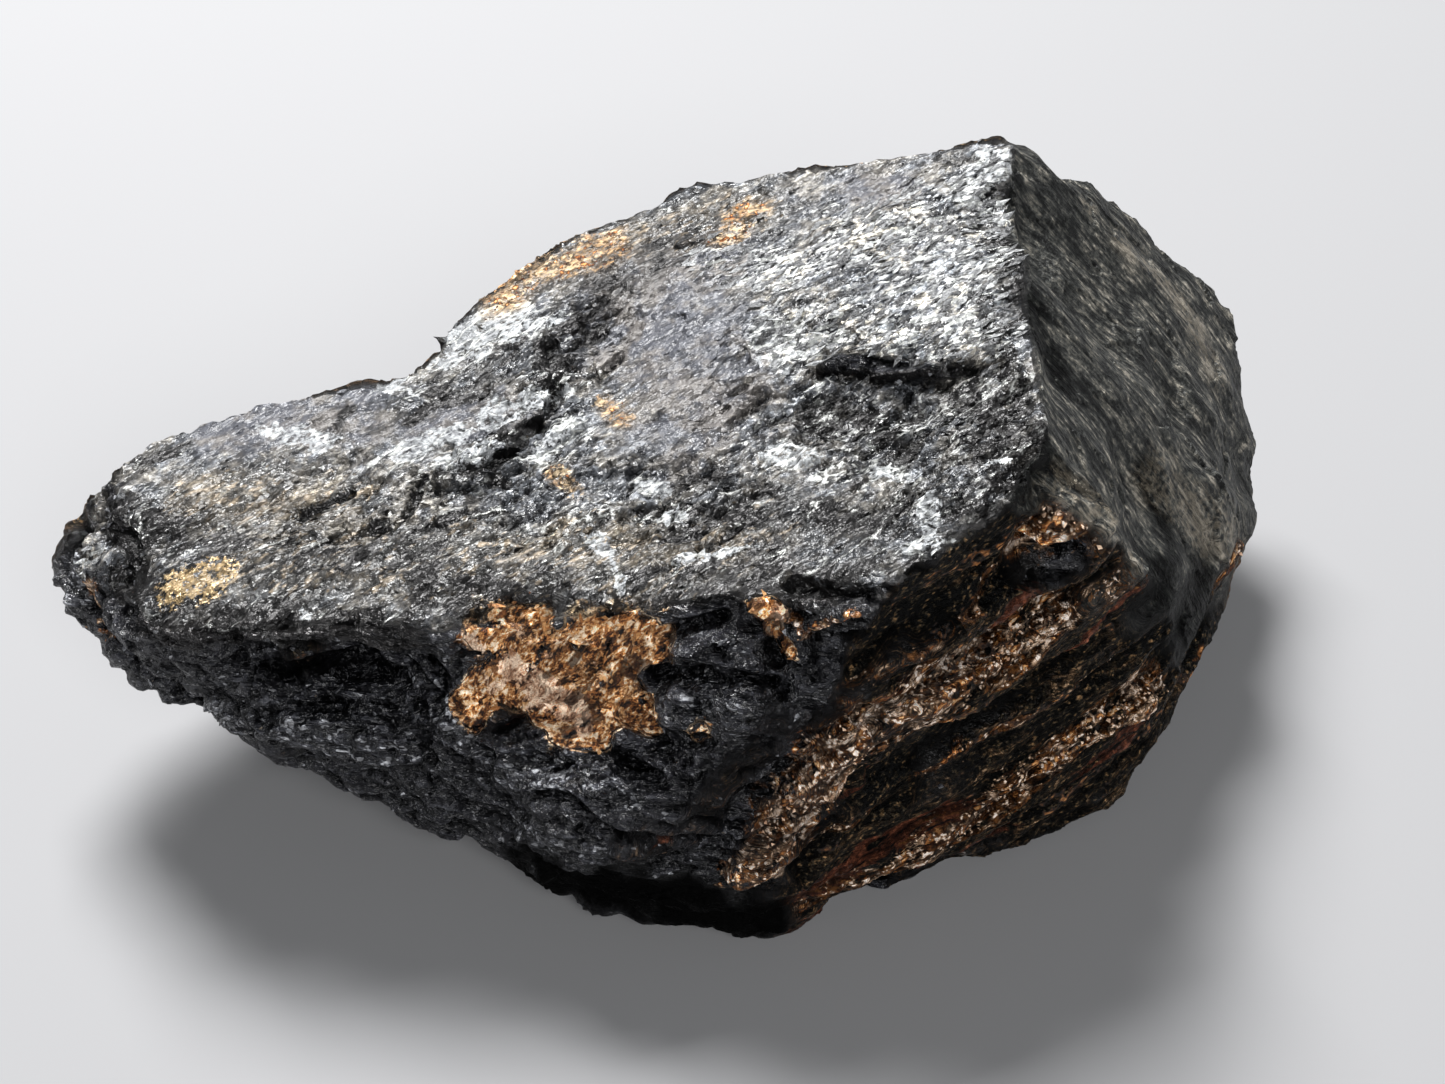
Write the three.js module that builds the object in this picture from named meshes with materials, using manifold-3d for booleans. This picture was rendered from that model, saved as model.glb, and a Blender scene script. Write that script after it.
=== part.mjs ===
// A hand-sized crystal of tantalite: one solid, dark, heavy lump of a layered mineral, broken all round.
// Its top is a long cleavage face that rises towards the back right. The right end is a steep striated
// break, the front right a cross-break through the layers, and the front left a hackly, lumpy break
// with a hollow where a softer ochre mineral sits. The left end is a thinner tongue that overhangs.
//
// The stone is the union of two blocks. Each block is the convex hull of named corners, so the ridges
// between its faces are straight and sharp. A closed skin of small triangles is laid over the blocks,
// seen from a point at their heart, its points are drawn onto the ridges, and relief is then raised on
// it: ledges on the cleavage face, steps along the layers, flutes on the right end, lumps and hollows.
//
// Millimetres. +X runs from the tongue to the right end, +Y to the back, +Z up.
import * as THREE from "three";
import { ConvexHull } from "three/addons/math/ConvexHull.js";
import { ImprovedNoise } from "three/addons/math/ImprovedNoise.js";
import { mergeVertices } from "three/addons/utils/BufferGeometryUtils.js";
import Module from "manifold-3d";

const wasm = await Module();
wasm.setup();

const vector = (x, y, z) => new THREE.Vector3(x, y, z);
const direction = (x, y, z) => vector(x, y, z).normalize();

// ---- Driving dimensions -------------------------------------------------------------------------

const SKIN_STEPS = 20; // each edge of the icosahedron behind the skin is cut into this many, plus one
const HEART = vector(2, -2, 16); // every part of the surface can be seen from here
const SKIN_RADII = vector(44, 27, 19); // the skin is spread as on this ellipsoid, so triangles stay even
const RIDGE_CATCH = 1.3; // a skin point this close to a ridge is drawn onto it
const FLOOR_Z = 0; // the underside is flat where it rests

// The layers lie parallel to the cleavage face. Each break has its own grain, the way its lines run.
const LAYER_NORMAL = direction(-0.165, -0.17, 0.97);
const CLEAVAGE_GRAIN = direction(0.83, 0.51, 0.23);
const END_BREAK = direction(0.78, -0.1, 0.61);
const END_GRAIN = direction(0.6, -0.06, -0.79);

// ---- Corners of the two blocks ------------------------------------------------------------------

const CORNERS = {
  // round the cleavage face, from the notch at the back, clockwise seen from above
  notch: [-23.5, 2, 27],
  backBay: [-20, 6.5, 28.5],
  backKnuckle: [-16.5, 9.5, 29.6],
  backRise: [-10.5, 14, 31.6],
  backCrest: [-1.5, 17, 33.7],
  backLip: [8.5, 16.5, 35.7],
  peak: [20.5, 16.3, 38],
  ridgeMiddle: [18.6, -3.5, 34.3],
  ridgeFront: [20.5, -13, 33],
  frontShoulder: [17.5, -18.3, 31.7],
  frontBrow: [10.2, -23.3, 29.5],
  frontSill: [3, -22.2, 28.3],
  pocketRightRim: [-5, -22, 25.7],
  pocketLeftRim: [-16.5, -20.5, 23.7],
  tongueFrontEdge: [-25, -18.8, 22.4],
  tongueFrontCorner: [-35, -17.6, 20.6],
  tongueNose: [-39, -15.6, 20.2],
  tongueBackCorner: [-43, -2.5, 22.5],
  tongueBackEdge: [-40.3, 0.6, 23.5],
  tongueBackRise: [-32.3, 2.1, 25.3],

  // along the bend where the cleavage face rolls over towards its front edge, from the left
  bendTongue: [-38.2, -11.7, 22.1],
  bendTongueRight: [-25.5, -14.6, 24.1],
  bendLeft: [-15.5, -16.4, 25.6],
  bendRight: [-5.2, -17, 27.5],

  // round the right-hand break
  endTopBack: [25.8, 16.7, 33],
  endBackUpper: [32.3, 21.5, 27],
  endBackEdge: [38.4, 23, 20.5],
  endBackLower: [41, 20.8, 16.5],
  endHeel: [41.9, 16, 11.5],
  endToe: [41.9, 11, 7],
  endFrontUpper: [26.3, -13, 25],
  endFrontMiddle: [30, -10.3, 19],
  endFrontLower: [31.6, -9.4, 12],
  endUndercut: [38.2, 4, 6],

  // lower rim, front right then front left, with the bulge of the belly above it
  frontRightFoot: [31.2, -10.8, 5],
  frontRightHeel: [28.5, -13.8, 1.5],
  frontRim: [20.2, -18.6, 1.2],
  frontRimLeft: [12.3, -20.9, 0.9],
  frontTip: [6.3, -24.9, -0.1],
  crossBreakEdge: [-1.2, -26.8, 14],
  crossBreakEdgeTop: [1.2, -25, 22.5],
  bulgeRight: [0.2, -27.8, 9.9],
  bulgeMiddle: [-5.3, -27.6, 11],
  bulgeLeft: [-10.6, -26.4, 11.3],
  bellyRight: [2.4, -25.2, 0.3],
  bellyMiddle: [-3, -25.2, 1],
  bellyLeft: [-8.4, -24.3, 2],
  bellyRise: [-13.8, -22.4, 3.6],
  tongueRoot: [-19.4, -20.1, 5.6],
  tongueBelly: [-22.2, -18.3, 7],
  tongueKeel: [-31.1, -16.4, 9.4],
  tongueChin: [-38, -14.6, 11.4],
  tongueLip: [-43, -11.4, 14],
  tongueEnd: [-46.4, -6.1, 17],
  tongueEndBack: [-45.7, -3.3, 19],

  // the hidden back
  tongueBackFoot: [-41, 2.5, 14],
  tongueBackKeel: [-30, 7, 11],
  backFootLeft: [-17, 15.5, 7],
  backWaist: [-6, 22.5, 17],
  backFoot: [0, 25.5, 3],
  backWall: [14, 25, 22],
  backFootRight: [20, 27.5, 3],
  backHeel: [33, 25, 8],

  // the patch that it rests on, a little below the floor so that the floor plane trims it
  restFront: [12, -17.5, -0.2],
  restRight: [26.5, -10.5, -0.2],
  restEnd: [33, 9, -0.2],
  restBack: [21, 22.5, -0.2],
  restBackLeft: [-2, 19.5, -0.2],
  restLeft: [-12.5, 2, -0.2],
  restFrontLeft: [-7.5, -17.5, -0.2],

  // inside the stone, where the tongue is rooted in the main block
  rootTop: [12, -2, 28],
  rootBottom: [12, -2, 5],
  rootFront: [4, -15, 16],
  rootBack: [4, 11, 16],
};

const MAIN_BLOCK = [
  "notch", "backBay", "backKnuckle", "backRise", "backCrest", "backLip", "peak", "ridgeMiddle",
  "ridgeFront", "frontShoulder", "frontBrow", "frontSill", "pocketRightRim", "pocketLeftRim",
  "endTopBack", "endBackUpper", "endBackEdge", "endBackLower", "endHeel", "endToe",
  "endFrontUpper", "endFrontMiddle", "endFrontLower", "endUndercut",
  "frontRightFoot", "frontRightHeel", "frontRim", "frontRimLeft", "frontTip",
  "crossBreakEdge", "crossBreakEdgeTop", "bendLeft", "bendRight",
  "bulgeRight", "bulgeMiddle", "bulgeLeft",
  "bellyRight", "bellyMiddle", "bellyLeft", "bellyRise", "tongueRoot",
  "backFootLeft", "backWaist", "backFoot", "backWall", "backFootRight", "backHeel",
  "restFront", "restRight", "restEnd", "restBack", "restBackLeft", "restLeft", "restFrontLeft",
];
const TONGUE_BLOCK = [
  "notch", "pocketRightRim", "pocketLeftRim", "tongueFrontEdge", "tongueFrontCorner", "tongueNose",
  "tongueBackCorner", "tongueBackEdge", "tongueBackRise", "bellyRise", "tongueRoot", "tongueBelly",
  "tongueKeel", "tongueChin", "tongueLip", "tongueEnd", "tongueEndBack", "tongueBackFoot",
  "tongueBackKeel", "bendTongue", "bendTongueRight", "bendLeft", "bendRight",
  "rootTop", "rootBottom", "rootFront", "rootBack",
];

/** The flat faces of a block, each with its outward normal and its distance from the heart. */
function facesOf(cornerNames) {
  const corners = cornerNames.map((name) => vector(...CORNERS[name]));
  const hull = new ConvexHull().setFromPoints(corners);
  return hull.faces.map(({ normal, constant }) => ({ normal, reach: constant - normal.dot(HEART) }));
}

const BLOCKS = [facesOf(MAIN_BLOCK), facesOf(TONGUE_BLOCK)];

/** The face where a line from the heart leaves the stone, and how far away that is. */
function exitFrom(heading) {
  let exit = { distance: 0, face: null };
  for (const faces of BLOCKS) {
    let nearest = { distance: Infinity, face: null };
    for (const face of faces) {
      const closing = face.normal.dot(heading);
      const distance = closing > 0 ? face.reach / closing : Infinity;
      if (distance < nearest.distance) nearest = { distance, face };
    }
    if (nearest.distance > exit.distance) exit = nearest;
  }
  return exit;
}

// ---- The skin -----------------------------------------------------------------------------------

/** A closed, evenly spread triangle skin laid on the blocks: its points, their faces and its index. */
function laySkin() {
  const ball = new THREE.IcosahedronGeometry(1, SKIN_STEPS);
  ball.deleteAttribute("normal");
  ball.deleteAttribute("uv");
  const { attributes, index } = mergeVertices(ball, 1e-5);
  const points = [];
  const faces = [];
  for (let i = 0; i < attributes.position.count; i += 1) {
    const heading = vector().fromBufferAttribute(attributes.position, i).multiply(SKIN_RADII).normalize();
    const { distance, face } = exitFrom(heading);
    points.push(heading.multiplyScalar(distance).add(HEART));
    faces.push(face);
  }
  return { points, faces, index };
}

/** The neighbours of each point of a triangle mesh. */
function neighboursOf(count, index) {
  const neighbours = Array.from({ length: count }, () => new Set());
  for (let i = 0; i < index.count; i += 3) {
    const [a, b, c] = [index.getX(i), index.getX(i + 1), index.getX(i + 2)];
    neighbours[a].add(b).add(c);
    neighbours[b].add(a).add(c);
    neighbours[c].add(a).add(b);
  }
  return neighbours;
}

/** The nearest place to a point on the line where two faces meet. */
function ontoRidge(point, faceA, faceB) {
  const lean = faceA.normal.dot(faceB.normal);
  const outA = faceA.normal.dot(point) - faceA.normal.dot(HEART) - faceA.reach;
  const outB = faceB.normal.dot(point) - faceB.normal.dot(HEART) - faceB.reach;
  const spread = 1 - lean * lean;
  return point
    .clone()
    .addScaledVector(faceA.normal, -(outA - lean * outB) / spread)
    .addScaledVector(faceB.normal, -(outB - lean * outA) / spread);
}

/** Draws points that lie close to a ridge onto it, so that the ridge is straight and not a saw edge. */
function sharpenRidges({ points, faces, index }) {
  const neighbours = neighboursOf(points.length, index);
  const sharpEnough = 0.97; // cosine between two faces above which there is no ridge to speak of
  const moved = points.map((point, i) => {
    let best = null;
    let nearest = RIDGE_CATCH;
    for (const j of neighbours[i]) {
      if (faces[j] === faces[i] || faces[i].normal.dot(faces[j].normal) > sharpEnough) continue;
      const place = ontoRidge(point, faces[i], faces[j]);
      const step = place.distanceTo(point);
      const nearerThanNeighbour = step <= place.distanceTo(points[j]);
      if (nearerThanNeighbour && step < nearest) {
        nearest = step;
        best = place;
      }
    }
    return best ?? point;
  });
  return moved;
}

/** A geometry of the skin's triangles with the points given. */
function geometryOf(points, index) {
  const geometry = new THREE.BufferGeometry().setFromPoints(points);
  geometry.setIndex(index);
  geometry.computeVertexNormals();
  return geometry;
}

// ---- Relief -------------------------------------------------------------------------------------

const perlin = new ImprovedNoise();

/** Smooth noise, from about -1 to 1, with features of about the given size. */
function noise(point, size, seed = 0) {
  return perlin.noise(point.x / size + seed, point.y / size + 2 * seed, point.z / size + 3 * seed);
}

/** Noise drawn out along a grain: features are long that way and narrow across it. */
function grainNoise(point, grain, length, width, seed) {
  const along = point.dot(grain);
  const squeezed = point.clone().addScaledVector(grain, along * (width / length - 1));
  return noise(squeezed, width, seed);
}

/** 0 below the low value, 1 above the high one, and smooth between. */
const rise = (value, low, high) => THREE.MathUtils.smoothstep(value, low, high);

/** Low cliffs on the cleavage face. The ground drops on the right of each line, seen from above. */
const LEDGES = [
  { from: [5.5, -2.6, 31.3], to: [19, -5.5, 34], drop: 1.1, reach: 9 },
  { from: [-17.5, -8.4, 27], to: [-11.8, -2.8, 28.9], drop: 1.2, reach: 8 },
  { from: [-11.8, -2.8, 28.9], to: [-8.8, 7, 31], drop: 1, reach: 7 },
  { from: [-37, -9, 22], to: [-25, -4, 26], drop: 0.8, reach: 7 },
];

function ledgeRelief(point) {
  let height = 0;
  for (const { from, to, drop, reach } of LEDGES) {
    const start = vector(...from);
    const run = vector(...to).sub(start);
    const length = run.length();
    run.normalize();
    const downhill = run.clone().cross(LAYER_NORMAL);
    const offset = point.clone().sub(start);
    const along = offset.dot(run);
    const across = offset.dot(downhill) + 1.2 * noise(point, 5, 4.4);
    const besideLine = rise(along, -2, 2) * (1 - rise(along, length - 2, length + 2));
    height -= drop * besideLine * rise(across, -0.7, 0.7) * (1 - rise(across, 0.25 * reach, reach));
  }
  return height;
}

/** The cleavage face: broad swells and low terraces that follow its grain, and its ledges. */
function cleavageRelief(point) {
  const swell = 1.1 * grainNoise(point, CLEAVAGE_GRAIN, 40, 15, 3.1);
  const ripple = 0.7 * grainNoise(point, CLEAVAGE_GRAIN, 22, 6, 7.7);
  return swell + ripple + ledgeRelief(point);
}

/** The right-hand break: flutes that run down it. */
function endRelief(point) {
  return 1.1 * grainNoise(point, END_GRAIN, 45, 7, 1.3) + 0.6 * grainNoise(point, END_GRAIN, 26, 3.6, 5.9);
}

/**
 * Bands where layers of different hardness come out of the cross-breaks, by how far up the layers
 * each one lies. Hard ones stand out as ribs and soft ones lie in as grooves.
 */
const BANDS = [
  { level: 27.2, reach: 2.6, height: -1.1 },
  { level: 23.4, reach: 2.4, height: 0.7 },
  { level: 19.3, reach: 2.3, height: 1.1 },
  { level: 14.8, reach: 3, height: -1.1 },
  { level: 10.8, reach: 2.4, height: 0.4 },
  { level: 7, reach: 2.3, height: 1 },
  { level: 3.6, reach: 2, height: -0.8 },
];

/** The cross-breaks: their bands, with a waver, and finer grooves between them. */
function layerRelief(point) {
  const level = point.dot(LAYER_NORMAL) + 1.2 * noise(point, 17, 9.2);
  const strength = 0.8 + 0.7 * noise(point, 19, 3.3);
  let height = 0.8 * perlin.noise(level / 2.5 + 8, point.x / 22, point.y / 22);
  for (const band of BANDS) {
    height += strength * band.height * rise(1 - Math.abs(level - band.level) / band.reach, 0, 1);
  }
  return height;
}

/** The hackly breaks: knobs and shell-like scoops. */
function hacklyRelief(point) {
  const scoops = Math.abs(noise(point, 11, 2.2));
  return 2.4 * (0.22 - scoops) + 0.8 * noise(point, 5, 6.1);
}

/** The underside: shallow hollows between the places where the stone touches down. */
function underRelief(point) {
  return 0.25 - 1.6 * Math.abs(noise(point, 13, 8.3));
}

/** Lumps, which stand out, and hollows, which lie in, by their height: each has a place of its own. */
const LANDMARKS = [
  // front left: the ochre hollow, the knobs and scoops round it, and the belly under it
  { at: [-13, -22.3, 21], radius: 6.5, height: -2.1 },
  { at: [-7, -23.2, 22], radius: 6, height: -1.9 },
  { at: [-16.8, -21.6, 17.5], radius: 4.5, height: 2 },
  { at: [-2.5, -24, 21], radius: 6, height: 1.1 },
  { at: [-9, -26, 13.5], radius: 7, height: 0.8 },
  { at: [-24, -20.8, 19.3], radius: 4.5, height: -1.7 },
  { at: [-25, -20.5, 14], radius: 5, height: 1.5 },
  { at: [-30, -18.8, 13], radius: 4, height: 1 },
  { at: [-17.8, -22, 11], radius: 4.5, height: 1.1 },
  { at: [4.5, -23.5, 25.5], radius: 4, height: -1.6 },
  { at: [6.5, -22.6, 27.6], radius: 3, height: -0.9 },
  // front right: the tan knob under the front corner, the groove below it, and the crumbly ribs
  { at: [22.4, -15.2, 27.8], radius: 4.5, height: 1.5 },
  { at: [19.5, -17.8, 26.5], radius: 5, height: -1.6 },
  { at: [8.5, -24.2, 12.5], radius: 5, height: 1.2 },
  { at: [5, -26.2, 8.7], radius: 4, height: 0.9 },
  { at: [8.5, -23.5, 0.5], radius: 3.5, height: -1.5 },
  // right end: the scoop out of the ridge, and the hollow over the front undercut
  { at: [21, 8.5, 35.2], radius: 5, height: -1.5 },
  { at: [29.5, -6.5, 23.5], radius: 6, height: -1.3 },
  { at: [36, 3, 16], radius: 8, height: 1.4 },
  { at: [27, 8, 31], radius: 9, height: -1.1 },
  // tongue: its crumbly end, and the chips out of its edge
  { at: [-44.5, -8.5, 17.5], radius: 5, height: 1.3 },
  { at: [-41.5, -14, 15.5], radius: 4.5, height: 1.2 },
  { at: [-41, -11, 21], radius: 4, height: -1.2 },
  { at: [-35.5, -17.5, 13], radius: 4, height: -1.1 },
  { at: [-21.5, 4.5, 28], radius: 5, height: -0.7 },
];

function landmarkRelief(point) {
  let total = 0;
  for (const { at, radius, height } of LANDMARKS) {
    const share = 1 - vector(...at).distanceTo(point) / radius;
    if (share > 0) total += height * rise(share, 0, 0.8);
  }
  return total;
}

/**
 * How far the skin is raised at a point, from its outward normal and from how well that agrees with
 * the face it lies on: along a ridge it doesn't, and relief is held down there to keep the ridge.
 */
function relief(point, normal, agreement) {
  const cleavage = rise(normal.dot(LAYER_NORMAL), 0.8, 0.95);
  const end = rise(normal.dot(END_BREAK), 0.8, 0.95) * (1 - cleavage);
  const under = rise(-normal.z, 0.55, 0.85);
  const rest = (1 - cleavage) * (1 - end) * (1 - under);
  const layered = rest * rise(Math.max(normal.x + 0.3 * normal.y, normal.y), -0.2, 0.2);
  const hackly = rest - layered;
  const texture =
    cleavage * cleavageRelief(point) +
    end * endRelief(point) +
    under * underRelief(point) +
    layered * layerRelief(point) +
    hackly * hacklyRelief(point);
  const awayFromRidge = 0.3 + 0.7 * rise(agreement, 0.75, 0.98);
  return awayFromRidge * texture + landmarkRelief(point);
}

/** The skin with its relief raised along the normals. */
function raiseRelief(geometry, faces) {
  const { position, normal } = geometry.attributes;
  const points = [];
  for (let i = 0; i < position.count; i += 1) {
    const point = vector().fromBufferAttribute(position, i);
    const outward = vector().fromBufferAttribute(normal, i);
    const height = relief(point, outward, outward.dot(faces[i].normal));
    points.push(point.clone().addScaledVector(outward, height));
  }
  return geometryOf(points, geometry.index);
}

// ---- The solid ----------------------------------------------------------------------------------

function solidOf(geometry) {
  const bare = geometry.clone();
  bare.deleteAttribute("normal");
  bare.deleteAttribute("uv");
  const merged = mergeVertices(bare);
  return new wasm.Manifold(
    new wasm.Mesh({
      numProp: 3,
      vertProperties: merged.attributes.position.array,
      triVerts: new Uint32Array(merged.index.array),
    }),
  );
}

function geometryFrom(solid) {
  const { vertProperties, triVerts } = solid.getMesh();
  const geometry = new THREE.BufferGeometry();
  geometry.setAttribute("position", new THREE.BufferAttribute(vertProperties, 3));
  geometry.setIndex(new THREE.BufferAttribute(triVerts, 1));
  return geometry;
}

/** The stone with everything below the floor cut away, so that it rests flat. */
function standOnFloor(solid) {
  const size = 200;
  const ground = new THREE.BoxGeometry(size, size, size);
  ground.translate(0, 0, FLOOR_Z - size / 2);
  return solid.subtract(solidOf(ground));
}

/** The stone with the middle of its box above the origin. */
function centred(geometry) {
  geometry.computeBoundingBox();
  const middle = geometry.boundingBox.getCenter(vector());
  return geometry.translate(-middle.x, -middle.y, -geometry.boundingBox.min.z);
}

function makeStone() {
  const skin = laySkin();
  const smooth = geometryOf(sharpenRidges(skin), skin.index);
  const rough = raiseRelief(smooth, skin.faces);
  return centred(geometryFrom(standOnFloor(solidOf(rough))));
}

const stoneMaterial = new THREE.MeshStandardMaterial({ color: 0x3c3b3a, roughness: 0.55, metalness: 0.25 });

const stone = new THREE.Mesh(makeStone(), stoneMaterial);
stone.name = "tantalite_crystal";

const crystal = new THREE.Group();
crystal.add(stone);

export default crystal;
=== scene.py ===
"""A hand-sized broken crystal of tantalite, dressed over its solid model.

The stone is one dense mesh laid over the solid. Fine relief is raised on it: terraces on the cleavage
face, flutes on the right-hand break, laminations on the cross-breaks and scoops on the hackly break.
Masks painted on its points say where each mineral lies and where shade and glints are painted into
its colour, and the stone's materials read them. Flakes, scales and crumbs that stand out of the
surface are small pieces of their own, strewn by Geometry Nodes.
"""

import math

import bmesh
import bpy
import numpy as np
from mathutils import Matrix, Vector, noise
from mathutils.bvhtree import BVHTree


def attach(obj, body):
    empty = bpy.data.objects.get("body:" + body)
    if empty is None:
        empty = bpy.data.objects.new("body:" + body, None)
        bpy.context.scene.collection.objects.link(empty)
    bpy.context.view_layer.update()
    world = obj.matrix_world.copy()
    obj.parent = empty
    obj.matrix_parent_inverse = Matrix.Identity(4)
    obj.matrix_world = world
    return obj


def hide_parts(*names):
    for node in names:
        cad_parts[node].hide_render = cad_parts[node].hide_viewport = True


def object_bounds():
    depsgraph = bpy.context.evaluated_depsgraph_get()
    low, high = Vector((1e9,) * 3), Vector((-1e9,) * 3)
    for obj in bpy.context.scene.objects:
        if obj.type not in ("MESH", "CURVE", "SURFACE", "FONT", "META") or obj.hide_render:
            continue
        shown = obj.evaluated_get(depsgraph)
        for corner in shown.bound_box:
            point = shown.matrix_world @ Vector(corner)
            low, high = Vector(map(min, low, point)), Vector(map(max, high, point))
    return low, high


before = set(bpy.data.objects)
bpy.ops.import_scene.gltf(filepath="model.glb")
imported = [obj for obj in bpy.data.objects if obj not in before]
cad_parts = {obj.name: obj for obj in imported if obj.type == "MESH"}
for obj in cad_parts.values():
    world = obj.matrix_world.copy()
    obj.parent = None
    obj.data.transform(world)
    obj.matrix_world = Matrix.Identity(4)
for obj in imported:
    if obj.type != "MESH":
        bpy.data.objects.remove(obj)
cad_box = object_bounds()

MM = 0.001
NODE = "tantalite_crystal"

# ---- Driving dimensions ----------------------------------------------------------------------------

GRID = 0.25 * MM  # spacing of the points of the dense mesh
SOFTEN_ROUNDS = 5  # rounds of smoothing that take the flat triangles of the solid away
SPIKE = 0.24 * MM  # how far a point may stand out from the middle of its neighbours
SPIKE_ROUNDS = 8
MOST_TRIANGLES = 196000  # in the finished stone, which is thinned where it is plain

# The layers lie parallel to the cleavage face. Each break has its own grain, the way its lines run.
LAYER_NORMAL = Vector((-0.165, -0.17, 0.97)).normalized()
CLEAVAGE_GRAIN = Vector((0.83, 0.51, 0.23)).normalized()
END_BREAK = Vector((0.78, -0.1, 0.61)).normalized()
END_GRAIN = Vector((0.6, -0.06, -0.79)).normalized()
SILVER_GRAIN = Vector((1, 0.05, 0.18)).normalized()  # of the brightest part of the cleavage face
HACKLY_GRAIN = Vector((0.97, 0.1, -0.2)).normalized()
BAND_GRAIN = Vector((0.7, 0.7, 0.25)).normalized()  # the way the layers run on the cross-breaks
FILL_GRAIN = Vector((0.45, -0.3, 0.84)).normalized()  # of the ochre fill in the front hollow
HACKLY_UP = Vector((0.2, 0, 0.98)).normalized()

# The view: the camera looks along +Y and down, and sees the picture frame that pixels are given in.
PICTURE = (1445, 1084)
LOOK_AT = Vector((2.35, 0.39, 14)) * MM
CAMERA_DISTANCE = 175 * MM
CAMERA_ELEVATION = math.radians(40)
LENS, SENSOR = 60, 36

FLOOR_REACH = 12.0  # metres from the middle of the floor to its edge
FLOOR_COLOUR = (0.23, 0.23, 0.235, 1)
FLOOR_ROUGHNESS = 0.9
# Each lamp: the direction that it shines from, its distance and size in metres, its power in watts.
LAMPS = {
    "key lamp": ((-0.22, 0.52, 0.83), 0.6, 0.22, 11.0),
    "front fill": ((0.2, -0.8, 0.62), 0.8, 0.3, 5.0),
}
SKY_COLOUR, SKY_STRENGTH = (0.9, 0.95, 1, 1), 0.16

# ---- Camera, floor and light -----------------------------------------------------------------------


def link(obj):
    bpy.context.scene.collection.objects.link(obj)
    return obj


def aim(obj, target):
    """Turns a camera or lamp so that it looks at a point."""
    obj.rotation_mode = "QUATERNION"
    obj.rotation_quaternion = (target - obj.location).to_track_quat("-Z", "Y")


def view_direction():
    return Vector((0, math.cos(CAMERA_ELEVATION), -math.sin(CAMERA_ELEVATION)))


def make_camera():
    camera = link(bpy.data.objects.new("camera", bpy.data.cameras.new("camera")))
    camera.data.lens = LENS
    camera.data.sensor_width = SENSOR
    camera.data.clip_start = 10 * MM
    camera.location = LOOK_AT - view_direction() * CAMERA_DISTANCE
    aim(camera, LOOK_AT)
    bpy.context.scene.camera = camera
    return camera


def pixel_ray(x, y):
    """The direction in which the camera sees a pixel of the picture frame."""
    forward = view_direction()
    right = Vector((1, 0, 0))
    up = right.cross(forward)
    per_pixel = SENSOR / LENS / PICTURE[0]
    across = (x - PICTURE[0] / 2) * per_pixel
    rise = (PICTURE[1] / 2 - y) * per_pixel
    return (forward + right * across + up * rise).normalized()


def make_floor():
    reach = FLOOR_REACH
    mesh = bpy.data.meshes.new("floor")
    corners = [(-reach, -reach, 0), (reach, -reach, 0), (reach, reach, 0), (-reach, reach, 0)]
    mesh.from_pydata(corners, [], [(0, 1, 2, 3)])
    floor = link(bpy.data.objects.new("floor", mesh))
    material = bpy.data.materials.new("pale floor")
    material.use_nodes = True
    shader = material.node_tree.nodes["Principled BSDF"]
    shader.inputs["Base Color"].default_value = FLOOR_COLOUR
    shader.inputs["Roughness"].default_value = FLOOR_ROUGHNESS
    mesh.materials.append(material)


def make_lamp(name, direction, distance, size, power):
    """A square soft lamp that shines on the stone from the given direction."""
    lamp = link(bpy.data.objects.new(name, bpy.data.lights.new(name, "AREA")))
    lamp.data.size = size
    lamp.data.energy = power
    lamp.location = LOOK_AT + Vector(direction).normalized() * distance
    aim(lamp, LOOK_AT)


def make_light():
    for name, settings in LAMPS.items():
        make_lamp(name, *settings)
    world = bpy.data.worlds.new("studio")
    world.use_nodes = True
    sky = world.node_tree.nodes["Background"]
    sky.inputs["Color"].default_value = SKY_COLOUR
    sky.inputs["Strength"].default_value = SKY_STRENGTH
    bpy.context.scene.world = world
    bpy.context.scene.view_settings.view_transform = "Standard"


# ---- The dense mesh --------------------------------------------------------------------------------


def evaluated_mesh(obj):
    """The object's mesh with its modifiers applied."""
    depsgraph = bpy.context.evaluated_depsgraph_get()
    return bpy.data.meshes.new_from_object(obj.evaluated_get(depsgraph), depsgraph=depsgraph)


def dense_copy(node, name):
    """An evenly meshed copy of a solid, with the flat triangles smoothed away."""
    mesh = node.data.copy()
    work = bmesh.new()
    work.from_mesh(mesh)
    bmesh.ops.remove_doubles(work, verts=work.verts, dist=0.001 * MM)
    work.to_mesh(mesh)
    work.free()
    rough = link(bpy.data.objects.new("rough copy", mesh))
    remesh = rough.modifiers.new("even mesh", "REMESH")
    remesh.mode = "VOXEL"
    remesh.voxel_size = GRID
    smooth = rough.modifiers.new("soften", "SMOOTH")
    smooth.factor = 0.5
    smooth.iterations = SOFTEN_ROUNDS
    dense = evaluated_mesh(rough)
    bpy.data.objects.remove(rough)
    dense.name = name
    dense.materials.clear()
    return link(bpy.data.objects.new(name, dense))


def read(items, value, width=1, kind=float):
    """A value of every vertex, edge, corner or face, as rows of the given width."""
    values = np.empty(len(items) * width, kind)
    items.foreach_get(value, values)
    return values.reshape(-1, width) if width > 1 else values


def read_points(mesh):
    return read(mesh.vertices, "co", 3)


def keep_above_floor(points):
    """The visual model goes no lower than the solid that it is laid over."""
    points[:, 2] = np.maximum(points[:, 2], cad_box[0][2])
    return points


class Neighbourhood:
    """Averages values over the points that share an edge with each point."""

    def __init__(self, mesh):
        self.edges = read(mesh.edges, "vertices", 2, int)
        self.count = np.bincount(self.edges.ravel(), minlength=len(mesh.vertices))

    def average(self, values, rounds=1):
        for _ in range(rounds):
            total = np.zeros_like(values)
            for column in range(values.shape[1]):
                for near, far in ((0, 1), (1, 0)):
                    total[:, column] += np.bincount(
                        self.edges[:, near], values[self.edges[:, far], column], len(values)
                    )
            values = total / self.count[:, None]
        return values


# ---- Fields: values that vary over the stone -------------------------------------------------------

HALF = Vector((0.5, 0.5, 0.5))


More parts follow.
